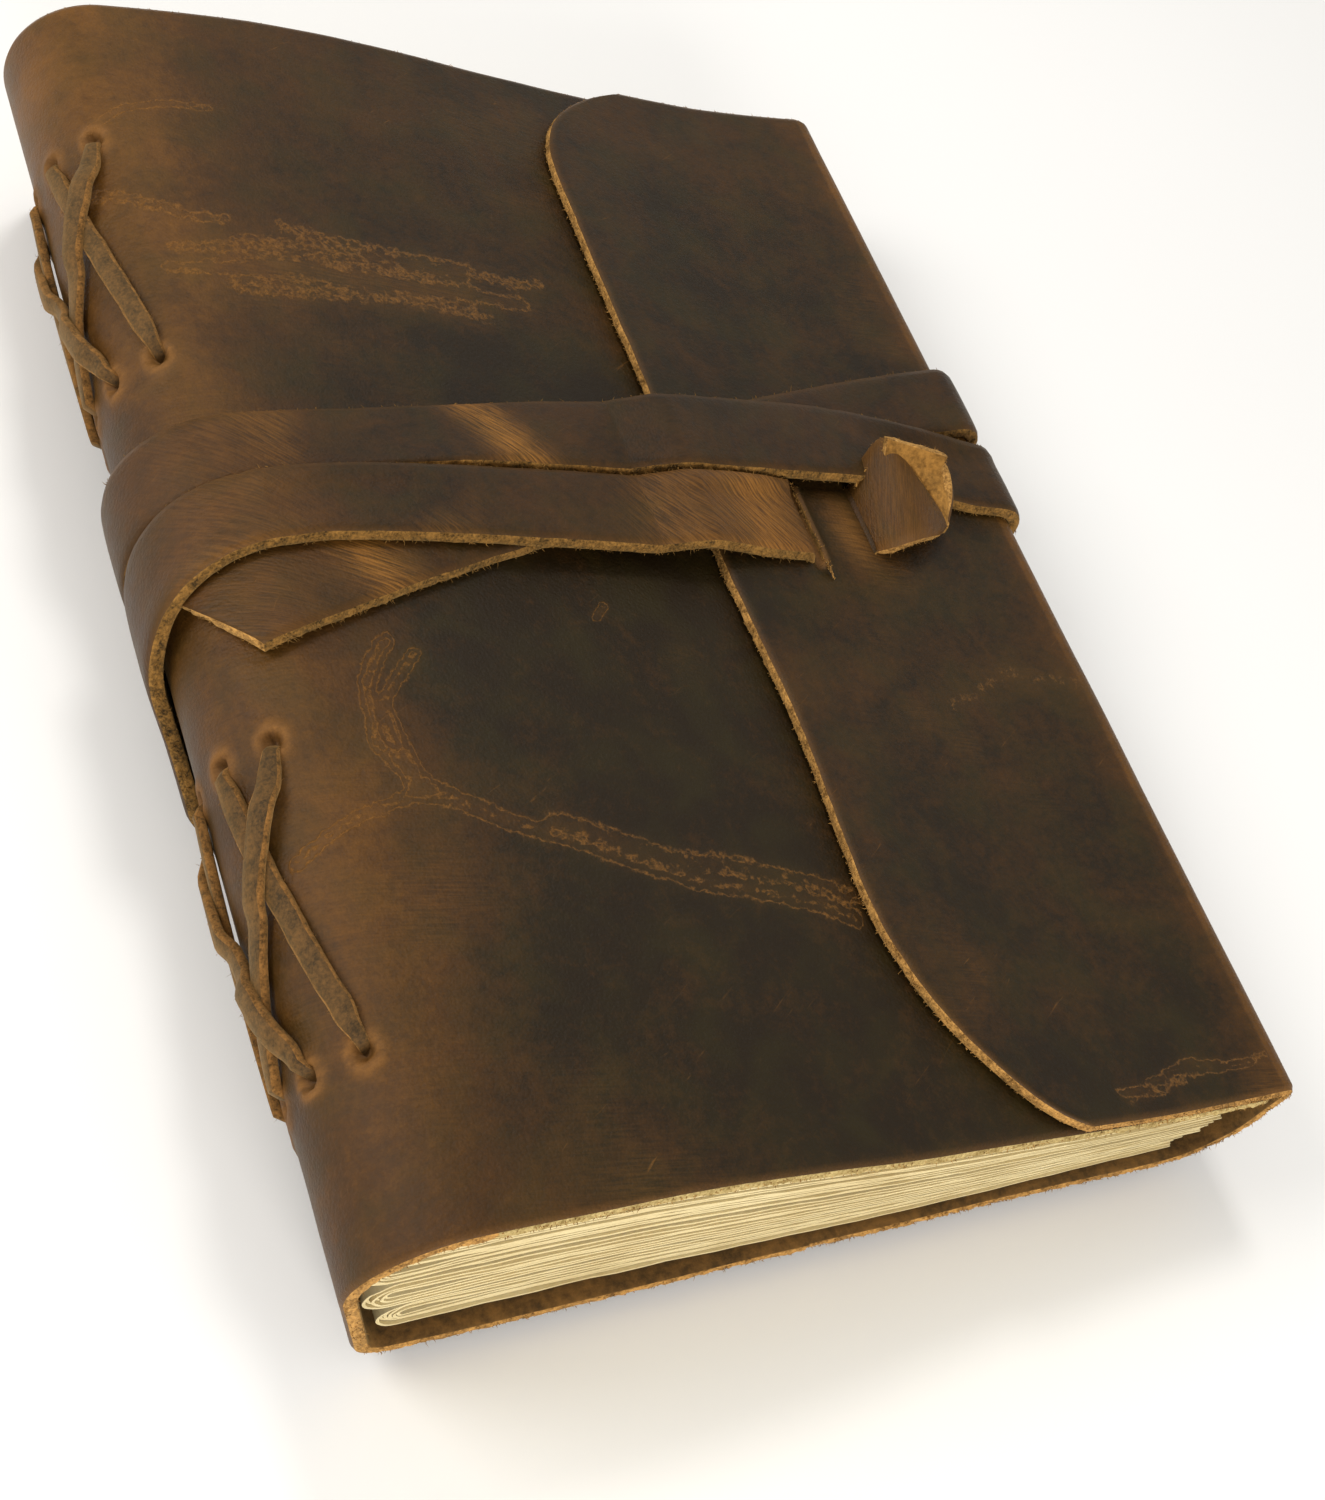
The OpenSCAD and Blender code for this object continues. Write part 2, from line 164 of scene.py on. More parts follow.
def wave(x, y):
    """Slow rise and fall of the front of the cover, shared by all that lies on it."""
    inside = smooth((np.asarray(x) - 14) / 25) * smooth((118 - np.asarray(x)) / 16)
    return 0.35 * inside * fractal(x, y, 55, 3, 2)


# ---------------------------------------------------------------- profile paths
def path_from(points, step):
    """Evenly spaced points, directions and distances along an outline of x, z points."""
    p = np.array(points, float)
    d = np.concatenate([[0], np.cumsum(np.hypot(*np.diff(p, axis=0).T))])
    n = max(2, int(round(d[-1] / step)) + 1)
    s = np.linspace(0, d[-1], n)
    q = np.stack([np.interp(s, d, p[:, k]) for k in (0, 1)], 1)
    t = np.gradient(q, axis=0)
    t /= np.linalg.norm(t, axis=1)[:, None]
    return q, t, s


def arc(centre, r, start, end, n=40):
    return [(centre[0] + r * math.cos(math.radians(a)), centre[1] + r * math.sin(math.radians(a)))
            for a in np.linspace(start, end, n)]


def front_line(x0, x1, above=0.0, n=90):
    return [(x, float(front_top(x)) + above) for x in np.linspace(x0, x1, n)]


# ---------------------------------------------------------------- sheet builder
def link(name, verts, faces, mats, index, uv=None, values=None, smooth_faces=True):
    me = bpy.data.meshes.new(name)
    me.from_pydata([tuple(v) for v in verts], [], [tuple(int(i) for i in f) for f in faces])
    for m in mats:
        me.materials.append(m)
    me.polygons.foreach_set("material_index", np.asarray(index, np.int32))
    me.polygons.foreach_set("use_smooth", np.full(len(faces), smooth_faces))
    if uv is not None:
        layer = me.uv_layers.new(name="surf")
        loops = np.empty(len(me.loops), np.int32)
        me.loops.foreach_get("vertex_index", loops)
        layer.data.foreach_set("uv", np.asarray(uv, np.float32)[loops].ravel())
    for key, v in (values or {}).items():
        a = me.attributes.new(key, "FLOAT", "POINT")
        a.data.foreach_set("value", np.asarray(v, np.float32))
    me.validate()
    me.update()
    obj = bpy.data.objects.new(name, me)
    scene.collection.objects.link(obj)
    return obj


def sheet_mesh(outer, inner, uv, values, seed, open_low=False, rough=0.12, rings=4, fourth=None):
    """Verts, faces and data of a thick sheet. outer and inner are (I, J, 3) in mm; the edge is rough cut.
    With open_low the edge at i = 0 has no wall, because another sheet goes on from it. fourth says
    which stretches of the edge take the fourth material instead of the third."""
    I, J = outer.shape[:2]
    grid = np.arange(I * J).reshape(I, J)
    loop = ([(i, 0) for i in range(I)] + [(I - 1, j) for j in range(1, J)]
            + [(i, J - 1) for i in range(I - 2, -1, -1)] + [(0, j) for j in range(J - 2, 0, -1)])
    li = np.array([a for a, b in loop]); lj = np.array([b for a, b in loop])
    O, N = outer[li, lj], inner[li, lj]
    inward = outer[np.clip(li, 1, I - 2), np.clip(lj, 1, J - 2)] - O
    length_in = np.linalg.norm(inward, axis=1)[:, None]
    away = -inward / np.maximum(length_in, 1e-9)
    rng = np.random.RandomState(seed)
    verts = [outer.reshape(-1, 3), inner.reshape(-1, 3)]
    L = len(loop)
    for k in range(1, rings):
        f = k / rings
        shape = math.sin(math.pi * f)
        push = 0.22 * shape + rough * shape * (rng.rand(L) * 2 - 1)
        if open_low:
            push = push * (li > 0)
        verts.append(O * (1 - f) + N * f + away * push[:, None])
    base = 2 * I * J
    faces, index = [], []
    a, b, c, d = grid[:-1, :-1], grid[1:, :-1], grid[1:, 1:], grid[:-1, 1:]
    outer_f = np.stack([a, b, c, d], -1).reshape(-1, 4)
    inner_f = outer_f[:, ::-1] + I * J
    ring_ids = [grid[li, lj]] + [base + k * L + np.arange(L) for k in range(rings - 1)] \
        + [grid[li, lj] + I * J]
    keep = np.ones(L, bool)
    if open_low:
        nxt = (np.arange(L) + 1) % L
        keep = ~((li == 0) & (li[nxt] == 0))
    walls = []
    wall_kind = np.full(L, 2) if fourth is None else np.where(fourth(li, lj, I, J), 3, 2)
    for k in range(rings):
        lo, hi = ring_ids[k], ring_ids[k + 1]
        w = np.stack([lo, hi, np.roll(hi, -1), np.roll(lo, -1)], -1)
        walls.append(w[keep])
    faces = np.concatenate([outer_f, inner_f] + walls)
    index = np.concatenate([np.zeros(len(outer_f)), np.ones(len(inner_f))]
                           + [wall_kind[keep]] * rings).astype(int)
    flat = uv.reshape(-1, 2)
    all_uv = np.concatenate([flat, flat] + [uv[li, lj]] * (rings - 1))
    data = {}
    for key, v in values.items():
        data[key] = np.concatenate([v.ravel(), v.ravel()] + [v[li, lj]] * (rings - 1))
    return np.concatenate(verts), faces, index, all_uv, data, (O, N, away, keep)


def right_way_out(verts, faces, want):
    """Flips the faces if the first one doesn't look along want."""
    a, b, c = (verts[faces[0][k]] for k in (0, 1, 2))
    n = np.cross(b - a, c - a)
    return faces if n @ want > 0 else faces[:, ::-1]


def fibres(O, N, away, keep, number, seed, reach=(0.25, 0.8), thick=0.05):
    """Short loose fibres on a cut edge: three-sided tapered hairs."""
    rng = np.random.RandomState(seed)
    where = np.flatnonzero(keep)
    pick = where[rng.randint(0, len(where), number)]
    f = rng.rand(number)[:, None]
    nxt = (pick + 1) % len(O)
    g = rng.rand(number)[:, None]
    start = (O[pick] * (1 - g) + O[nxt] * g) * (1 - f) + (N[pick] * (1 - g) + N[nxt] * g) * f
    along = O[nxt] - O[pick]
    along /= np.maximum(np.linalg.norm(along, axis=1)[:, None], 1e-9)
    out = away[pick] * 0.8 + along * rng.randn(number, 1) * 0.7 + rng.randn(number, 3) * 0.35
    out /= np.linalg.norm(out, axis=1)[:, None]
    size = (reach[0] + (reach[1] - reach[0]) * rng.rand(number) ** 2)[:, None]
    start = start + away[pick] * 0.12
    bend = rng.randn(number, 3) * 0.35
    mid = start + out * size * 0.55
    tip = start + (out + bend) * size
    side = np.cross(out, rng.randn(number, 3))
    side /= np.linalg.norm(side, axis=1)[:, None]
    other = np.cross(out, side)
    verts, faces = [], []
    for k in range(3):
        a = 2 * math.pi * k / 3
        verts.append(start + (side * math.cos(a) + other * math.sin(a)) * thick)
    for k in range(3):
        a = 2 * math.pi * k / 3
        verts.append(mid + (side * math.cos(a) + other * math.sin(a)) * thick * 0.7)
    verts.append(tip)
    v = np.stack(verts, 1).reshape(-1, 3)
    base = (np.arange(number) * 7)[:, None]
    quads = np.concatenate([base + np.array([[k, (k + 1) % 3, 3 + (k + 1) % 3, 3 + k]]) for k in range(3)])
    tris = np.concatenate([base + np.array([[3 + k, 3 + (k + 1) % 3, 6]]) for k in range(3)])
    return v, quads, tris


def finish_sheet(name, parts, mats, want=None, extra=None):
    """Joins a sheet and its fibres into one object in the part's frame."""
    verts, faces, index, uv, data, rim = parts
    if want is not None:
        faces = right_way_out(verts, faces, want)
    all_faces = [tuple(f) for f in faces]
    index = list(index)
    if extra:
        v, quads, tris = extra
        n = len(verts)
        verts = np.concatenate([verts, v])
        all_faces += [tuple(f) for f in quads + n] + [tuple(f) for f in tris + n]
        index += [2] * (len(quads) + len(tris))
        uv = np.concatenate([uv, v[:, :2] * 0.01])
        data = {k: np.concatenate([d, np.zeros(len(v))]) for k, d in data.items()}
    return link(name, to_frame(verts), all_faces, mats, index, uv, data)


# ---------------------------------------------------------------- materials
class Nodes:
    def __init__(self, name):
        self.mat = bpy.data.materials.new(name)
        self.mat.use_nodes = True
        self.tree = self.mat.node_tree
        self.shader = self.tree.nodes["Principled BSDF"]

    def add(self, kind, **settings):
        n = self.tree.nodes.new("ShaderNode" + kind)
        for k, v in settings.items():
            if k.startswith("in_"):
                n.inputs[k[3:].replace("_", " ")].default_value = v
            else:
                setattr(n, k, v)
        return n

    def link(self, a, b):
        self.tree.links.new(a, b)

    def noise(self, vector, scale, detail=4, rough=0.55, distortion=0.0):
        n = self.add("TexNoise")
        self.link(vector, n.inputs["Vector"])
        n.inputs["Scale"].default_value = scale
        n.inputs["Detail"].default_value = detail
        n.inputs["Roughness"].default_value = rough
        n.inputs["Distortion"].default_value = distortion
        return n.outputs["Fac"]

    def stretch(self, vector, scale, turn_z=0.0):
        """Lines along turn_z: the scale is how often it repeats along and across them."""
        n = self.add("Mapping", vector_type="TEXTURE")
        self.link(vector, n.inputs["Vector"])
        n.inputs["Scale"].default_value = [1 / v for v in scale]
        n.inputs["Rotation"].default_value = (0, 0, turn_z)
        return n.outputs["Vector"]

    def ramp(self, value, stops):
        n = self.add("ValToRGB")
        self.link(value, n.inputs["Fac"])
        e = n.color_ramp.elements
        while len(e) < len(stops):
            e.new(0.5)
        for k, (at, colour) in enumerate(stops):
            e[k].position = at
            c = colour if isinstance(colour, tuple) else (colour,) * 3
            e[k].color = (*c, 1)
        return n.outputs["Color"]

    def math(self, op, a, b=None, c=None):
        n = self.add("Math", operation=op)
        for k, v in enumerate((a, b, c)):
            if v is None:
                continue
            if isinstance(v, (int, float)):
                n.inputs[k].default_value = v
            else:
                self.link(v, n.inputs[k])
        return n.outputs[0]

    def plus(self, a, b):
        return self.math("ADD", a, b)

    def minus(self, a, b):
        return self.math("SUBTRACT", a, b)

    def times(self, a, b):
        return self.math("MULTIPLY", a, b)

    def swing(self, value, weight):
        """A noise about 0 instead of 0.5, times its weight."""
        return self.times(self.minus(value, 0.5), weight)

    def bump(self, height, strength, distance):
        """distance is in metres."""
        n = self.add("Bump")
        n.inputs["Strength"].default_value = strength
        n.inputs["Distance"].default_value = distance
        self.link(height, n.inputs["Height"])
        self.link(n.outputs["Normal"], self.shader.inputs["Normal"])

    def mix(self, fac, a, b, blend="MIX"):
        n = self.add("Mix", data_type="RGBA", blend_type=blend)
        for socket, v in ((n.inputs[0], fac), (n.inputs[6], a), (n.inputs[7], b)):
            if isinstance(v, (int, float)):
                socket.default_value = v
            elif isinstance(v, tuple):
                socket.default_value = (*v, 1)
            else:
                self.link(v, socket)
        return n.outputs[2]

    def value(self, name):
        n = self.add("Attribute", attribute_name=name)
        return n.outputs["Fac"]


def srgb(r, g, b):
    f = lambda c: ((c / 255 + 0.055) / 1.055) ** 2.4 if c > 10 else c / 255 / 12.92
    return (f(r), f(g), f(b))


def grain_leather(name, tones, rough=(0.34, 0.58), bump_m=0.00014, streaks=0.5,
                  pull=(22, 330, 1), pull_turn=0.12):
    """Oiled pull-up leather. tones are dark, middle and light. It reads the mesh's own values:
    warm (0 dark to 1 light), rub (fine light streaks), rim (tan round holes and edges)."""
    k = Nodes(name)
    uvn = k.add("UVMap", uv_map="surf")
    uv = uvn.outputs["UV"]
    cloud = k.noise(uv, 7, 5, 0.6, 0.6)
    mottle = k.noise(uv, 55, 6, 0.62, 0.3)
    fine = k.noise(uv, 380, 6, 0.75)
    speck = k.noise(uv, 140, 5, 0.7, 0.2)
    tone = k.plus(k.times(k.value("warm"), 0.75),
                  k.swing(cloud, 0.55))
    tone = k.plus(tone, k.swing(mottle, 0.48))
    tone = k.plus(tone, k.swing(fine, 0.42))
    tone = k.plus(tone, k.swing(speck, 0.30))
    colour = k.ramp(tone, [(0.0, tones[0]), (0.38, tones[1]), (0.85, tones[2])])
    green = k.noise(uv, 12, 3, 0.5, 0.4)
    colour = k.mix(k.times(k.ramp(green, [(0.42, 0.0), (0.68, 1.0)]), 0.30), colour,
                   srgb(52, 45, 11))
    # Rubbed patches with fine pulled streaks
    line = k.noise(k.stretch(uv, pull, pull_turn), 1.0, 4, 0.65)
    patch = k.times(k.value("rub"), k.ramp(line, [(0.40, 0.10), (0.60, 1.0)]))
    colour = k.mix(k.times(patch, streaks), colour, tones[3])
    # Scattered hair scratches
    hair = k.noise(k.stretch(uv, (16, 260, 1), -0.6), 1.0, 2, 0.5, 1.2)
    hair = k.times(k.ramp(hair, [(0.70, 0.0), (0.76, 1.0)]),
                  k.ramp(cloud, [(0.5, 0.0), (0.65, 1.0)]))
    colour = k.mix(k.times(hair, 0.25), colour, tones[3])
    vein = k.value("vein")
    crackle = k.noise(uv, 60, 5, 0.7, 0.3)
    bent = k.plus(vein, k.swing(crackle, 0.9))
    lines = 0.0
    for level in (0.34, 0.78):
        near_it = k.math("ABSOLUTE", k.minus(bent, level))
        lines = k.plus(k.ramp(near_it, [(0.0, 0.9), (0.04, 0.4), (0.09, 0.0)]), lines)
    lines = k.times(lines, k.ramp(vein, [(0.08, 0.0), (0.3, 1.0)]))
    lines = k.times(lines, k.ramp(speck, [(0.38, 0.15), (0.6, 1.0)]))
    colour = k.mix(k.times(lines, 0.62), colour, tones[3])
    colour = k.mix(k.times(vein, 0.07), colour, tones[3])
    dusty = k.times(k.value("rim"), k.ramp(fine, [(0.3, 0.5), (0.65, 1.0)]))
    colour = k.mix(dusty, colour, srgb(132, 90, 44))
    k.link(colour, k.shader.inputs["Base Color"])
    r = k.plus(rough[0], k.times(mottle, rough[1] - rough[0]))
    r = k.plus(r, k.times(patch, 0.15))
    r = k.plus(r, k.times(k.value("rim"), 0.25))
    k.link(r, k.shader.inputs["Roughness"])
    # Grain: pores between small raised cells, long soft wrinkles
    cells = k.add("TexVoronoi", feature="F1")
    warp = k.add("VectorMath", operation="ADD")
    k.link(uv, warp.inputs[0])
    soft = k.add("TexNoise")
    k.link(uv, soft.inputs["Vector"])
    soft.inputs["Scale"].default_value = 150
    small = k.add("VectorMath", operation="SCALE")
    k.link(soft.outputs["Color"], small.inputs[0])
    small.inputs["Scale"].default_value = 0.006
    k.link(small.outputs[0], warp.inputs[1])
    k.link(warp.outputs[0], cells.inputs["Vector"])
    cells.inputs["Scale"].default_value = 210
    height = k.plus(k.times(cells.outputs["Distance"], -0.55),
                    k.times(fine, 0.55))
    height = k.plus(height, k.times(mottle, 0.8))
    height = k.plus(height, k.times(patch, 0.3))
    height = k.plus(height, k.times(lines, 1.2))
    k.bump(height, 0.7, bump_m)
    k.shader.inputs["Specular IOR Level"].default_value = 0.20
    k.shader.inputs["Sheen Weight"].default_value = 0.04
    k.shader.inputs["Sheen Roughness"].default_value = 0.25
    k.shader.inputs["Sheen Tint"].default_value = (*srgb(235, 205, 150), 1)
    return k.mat


def suede(name, dark, light, scale=300, rough=0.9, bump_m=0.0002):
    k = Nodes(name)
    co = k.add("TexCoord").outputs["Object"]
    a = k.noise(co, scale * 3, 6, 0.7)
    b = k.noise(co, scale * 0.6, 4, 0.6, 0.4)
    tone = k.plus(k.times(a, 0.65), k.times(b, 0.45))
    k.link(k.ramp(tone, [(0.43, dark), (0.66, light)]), k.shader.inputs["Base Color"])
    k.shader.inputs["Roughness"].default_value = rough
    k.bump(tone, 0.9, bump_m)
    k.shader.inputs["Specular IOR Level"].default_value = 0.2
    k.shader.inputs["Sheen Weight"].default_value = 0.25
    k.shader.inputs["Sheen Roughness"].default_value = 0.6
    k.shader.inputs["Sheen Tint"].default_value = (*srgb(230, 190, 120), 1)
    return k.mat


def paper_material():
    k = Nodes("paper")
    co = k.add("TexCoord").outputs["Object"]
    fibre = k.noise(k.stretch(co, (1, 1, 6)), 900, 5, 0.65)
    patch = k.noise(co, 60, 3, 0.5)
    tone = k.plus(k.times(fibre, 0.5), k.times(patch, 0.5))
    k.link(k.ramp(tone, [(0.3, srgb(192, 172, 124)), (0.7, srgb(217, 202, 158))]),
           k.shader.inputs["Base Color"])
    k.shader.inputs["Roughness"].default_value = 0.85
    k.bump(fibre, 0.4, 0.00006)
    k.shader.inputs["Specular IOR Level"].default_value = 0.2
    return k.mat


cover_tones = (srgb(33, 23, 7), srgb(70, 44, 13), srgb(112, 73, 24), srgb(160, 108, 46))
strap_tones = (srgb(36, 24, 8), srgb(72, 45, 15), srgb(110, 70, 25), srgb(172, 116, 48))
cover_grain = grain_leather("cover_grain", cover_tones)
strap_grain = grain_leather("strap_grain", strap_tones, streaks=0.75, pull_turn=0.87)
flesh = suede("flesh_side", srgb(58, 40, 18), srgb(108, 76, 36), 260)
gold_flesh = suede("gold_flesh", srgb(88, 58, 18), srgb(158, 112, 50), 420)
cut_edge = suede("cut_edge", srgb(88, 58, 22), srgb(196, 146, 78), 900)
# Painted light: a paler copy of the cut edge, standing in for the light that falls on the front's tail edge
painted_lit_edge = suede("painted_lit_edge", srgb(120, 98, 50), srgb(196, 174, 118), 900)
strap_edge = suede("strap_edge", srgb(40, 27, 9), srgb(150, 108, 50), 900)
thong_suede = suede("thong_suede", srgb(58, 38, 14), srgb(140, 96, 46), 1000)
thong_top = suede("thong_top", srgb(44, 31, 13), srgb(98, 68, 32), 800, 0.7, 0.0001)
paper = paper_material()

floor_k = Nodes("floor")
floor_co = floor_k.add("TexCoord").outputs["Object"]
floor_k.link(floor_k.ramp(floor_k.noise(floor_co, 3, 2), [(0.3, (0.90,) * 3), (0.7, (0.93,) * 3)]),
             floor_k.shader.inputs["Base Color"])
floor_k.shader.inputs["Roughness"].default_value = 0.6
floor = link("floor", [(-3, -3, -0.0002), (3, -3, -0.0002), (3, 3, -0.0002), (-3, 3, -0.0002)],
             [(0, 1, 2, 3)], [floor_k.mat], [0], smooth_faces=False)

# ---------------------------------------------------------------- lacing holes
pitch, first_hole = 6.9, 5.5
tail_rows, head_rows = (22.0, 59.8), (116.0, 153.0)
hole_rows = tail_rows + head_rows
hole_s = [first_hole + n * pitch for n in range(4)]      # distance round from the top of the roll

# ---------------------------------------------------------------- cover, spine side
seam_x = 60.0
left_line = ([(seam_x, 0.0), (foot[0], 0.0)] + arc(foot, foot_r, 270, side_angle, 16)
             + arc(roll, spine_r, side_angle, 90, 50) + front_line(roll[0] + 0.5, fore_x - 4.2))


def rows_along(step, extra=()):
    """Rows from tail to head, closer at the two ends and near the given places."""
    y = np.arange(0, length + 1e-6, step)
    near_ends = np.array([0.25, 0.6, 1.0])
    y = np.concatenate([y, near_ends, length - near_ends])
    for e in extra:
        y = np.concatenate([y, e + np.arange(-2.4, 2.41, 0.4)])
    y = np.unique(np.round(y, 2))
    keep = [y[0]]
    for v in y[1:]:
        if v - keep[-1] > 0.19:
            keep.append(v)
    keep[-1] = length
    return np.array(keep)


def line_mask(x, y, points, width, wobble_seed=11):
    """1 on a thin crooked line through the points, 0 away from it."""
    x = x + 1.2 * noise(x, y, 9, wobble_seed)
    y = y + 1.2 * noise(x, y, 9, wobble_seed + 9)
    best = np.full(np.shape(x), 1e9)
    for (ax, ay), (bx, by) in zip(points, points[1:]):
        dx, dy = bx - ax, by - ay
        t = np.clip(((x - ax) * dx + (y - ay) * dy) / (dx * dx + dy * dy), 0, 1)
        best = np.minimum(best, np.hypot(x - ax - t * dx, y - ay - t * dy))
    return np.exp(-(best / width) ** 2)


q, t, s = path_from(left_line, 0.8)
n = np.stack([-t[:, 1], t[:, 0]], 1)
if n[len(n) // 2] @ (q[len(q) // 2] - np.array(roll)) < 0:
    n = -n
roll_top = s[np.argmin(np.hypot(q[:, 0] - roll[0], q[:, 1] - spine_h))]
u_round = roll_top - s                    # distance round from the top of the roll, + towards the back
rows = rows_along(0.9, hole_rows)
X = np.repeat(q[:, 0][:, None], len(rows), 1)
Y = np.repeat(rows[None, :], len(q), 0)
U = np.repeat(u_round[:, None], len(rows), 1)
on_front = (U < 0) * 1.0
# Slow waves, holes sunk in with raised rims, thin raised veins and creases
up_by = wave(X, Y) * on_front + 0.10 * fractal(U, Y, 14, 21, 3)
rim = np.zeros_like(X)
pits = np.zeros_like(X)
for y0 in hole_rows:
    for s0 in hole_s:
        r = np.hypot(U - s0, (Y - y0) * 0.8)
        pits += np.exp(-(r / 0.9) ** 4)
        rim += np.exp(-((r - 1.5) / 0.75) ** 2) * (1 + 0.5 * noise(X * 3 + U, Y * 3, 1.2, 5))
        up_by += 0.32 * np.exp(-((r - 1.5) / 0.7) ** 2)
up_by -= 1.5 * np.clip(pits, 0, 1)
vein = 0
for line, width, weight in (
        ([(17, 72), (12.5, 66), (11.7, 58), (15.1, 50.4)], 1.0, 0.95),
        ([(20, 70), (14.3, 64), (14.6, 56), (15.1, 50.4)], 0.9, 0.8),
        ([(15.1, 50.4), (7, 48), (0, 45.1)], 0.9, 0.8),
        ([(15.1, 50.4), (24, 46), (34.9, 41.8), (50, 36), (68.4, 31.1)], 1.3, 0.75),
        ([(30, 46), (42, 41.5), (58, 37), (70, 34)], 1.5, 0.5),
        ([(4.8, 129.2), (22, 130), (40, 128.6), (54.6, 129.4)], 1.6, 0.55),
        ([(6, 134), (24, 133), (46, 132)], 1.8, 0.4),
        ([(22, 137), (40, 134.5), (60, 133)], 1.8, 0.35),
        ([(12, 126), (30, 126.6), (48, 125)], 1.8, 0.35),
        ([(0.9, 154.4), (5, 157.6), (10.9, 158.9), (17, 159)], 0.9, 0.6),
        ([(-6, 146), (4, 141), (14, 138)], 1.4, 0.45),
        ([(46.6, 75.4), (48.4, 76.8)], 0.7, 0.8)):
    vein = vein + weight * line_mask(np.where(U > 0, roll[0] - U, X), Y, line, width)
vein = np.clip(vein, 0, 1)
up_by += 0.10 * vein
end_round = 0.35 * (np.exp(-(Y / 0.45) ** 2) + np.exp(-((length - Y) / 0.45) ** 2))
nx, nz = n[:, 0][:, None], n[:, 1][:, None]
Q0, Q1 = q[:, 0][:, None], q[:, 1][:, None]
sway = 0.35 * fractal(U, U, 30, 41, 2)      # tail and head ends not quite straight
shift_tail = (1 - smooth(Y / 12)) * sway
shift_head = smooth((Y - length + 12) / 12) * sway
Yw = Y + shift_tail + shift_head
outer = np.stack([Q0 + nx * (up_by - end_round), Yw, Q1 + nz * (up_by - end_round)], -1)
under = -leather + wave(X, Y) * on_front
inner = np.stack([Q0 + nx * (under + 0.5 * end_round), Yw, Q1 + nz * (under + 0.5 * end_round)], -1)
uv = np.stack([U, Y], -1) * 0.01

# Dark in the middle of the front, warmer towards the spine and the head, worn at the turns
warm = 0.10 + 0.50 * np.exp(-((U - 2) / 13) ** 2) + 0.30 * np.exp(-((U - 20) / 12) ** 2)
warm = warm + 0.34 * smooth((Y - 120) / 60) * smooth((75 + U) / 60)
warm = warm + 0.18 * fractal(U, Y, 34, 51, 3) + 0.16 * np.exp(-((Y - 129) / 9) ** 2) * (U < 0)
warm = warm - 0.22 * np.exp(-((U + 55) / 34) ** 2) * (1 - smooth((Y - 100) / 50))
warm = warm + 0.25 * (U > 30)
rub = np.exp(-((U + 25) / 26) ** 2) * np.exp(-((Y - 129) / 5) ** 2) * 0.22 \
    + np.exp(-((U - 3) / 5) ** 2) * smooth((Y - 60) / 30) * smooth((115 - Y) / 20) * 0.6 \
    + np.clip(fractal(U, Y, 26, 61, 3) - 0.25, 0, 1) * 0.5
rub = np.clip(rub, 0, 1)
edge_wear = 0.3 * (np.exp(-(Y / 0.6) ** 2) + np.exp(-((length - Y) / 0.6) ** 2))
values = {"warm": np.clip(warm, 0, 1), "rub": rub,
          "rim": np.clip(rim * 0.8 + edge_wear, 0, 1), "vein": vein}
# The front's stretch of the tail edge takes the fourth material, the paler copy of the cut edge with painted
# light on it; the rest of the edge keeps the plain cut edge
front_from = int(np.argmax(u_round < -1))
parts = sheet_mesh(outer, inner, uv, values, 7, open_low=True, rough=0.2,
                   fourth=lambda li, lj, I, J: (li > front_from) & (lj == 0))
hairs = fibres(*parts[5], 2600, 8, (0.15, 0.5), 0.06)
cover_spine_side = finish_sheet("cover_spine_side", parts, [cover_grain, flesh, cut_edge, painted_lit_edge],
                                np.array([0, 0, -1.0]), hairs)
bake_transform(cover_spine_side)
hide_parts("back_panel", "spine_panel", "front_panel")

# ---------------------------------------------------------------- cover, flap side
slit_x, slit_y = 86.6, (83.9, 98.4)
knot_slit_x = 97.5


def flap_edge(y):
    """x of the flap's free edge at y, with the rounded corners."""
    tail_part = np.clip(1 - y / 36, 0, 1) ** 2.2
    head_part = np.clip(1 - (length - y) / 26, 0, 1) ** 3
    return flap_free + 17.3 * tail_part + 18 * head_part + 1.2 * np.exp(-((y - 59) / 18) ** 2) \
        + 2.6 * np.exp(-y / 1.6) + 1.5 * np.exp(-(length - y) / 1.6)


right_line = ([(seam_x, 0.0), (heel[0], 0.0)] + arc(heel, heel_r, -90, 0, 24)
              + arc(fold, fold_r, 0, 90, 16))
qr, tr, sr = path_from(right_line, 0.8)
turn_n = len(qr)
rows = rows_along(0.9, (slit_y[0], slit_y[1], knot_slit_x))
flap_n = 84
J = len(rows)
outer = np.zeros((turn_n + flap_n, J, 3))
inner = np.zeros_like(outer)
nr = np.stack([tr[:, 1], -tr[:, 0]], 1)
edge = flap_edge(rows)
frac = (np.arange(1, flap_n + 1) / flap_n)[:, None]
Xf = fold[0] + (edge[None, :] - fold[0]) * frac
X = np.concatenate([np.repeat(qr[:, 0][:, None], J, 1), Xf])
Y = np.repeat(rows[None, :], turn_n + flap_n, 0)
S = np.concatenate([np.repeat(sr[:, None], J, 1), sr[-1] + (fold[0] - Xf)])
up_by = 0.08 * fractal(S, Y, 14, 71, 3)
flap_wave = np.zeros_like(X)
flap_wave[turn_n:] = wave(Xf, Y[turn_n:])
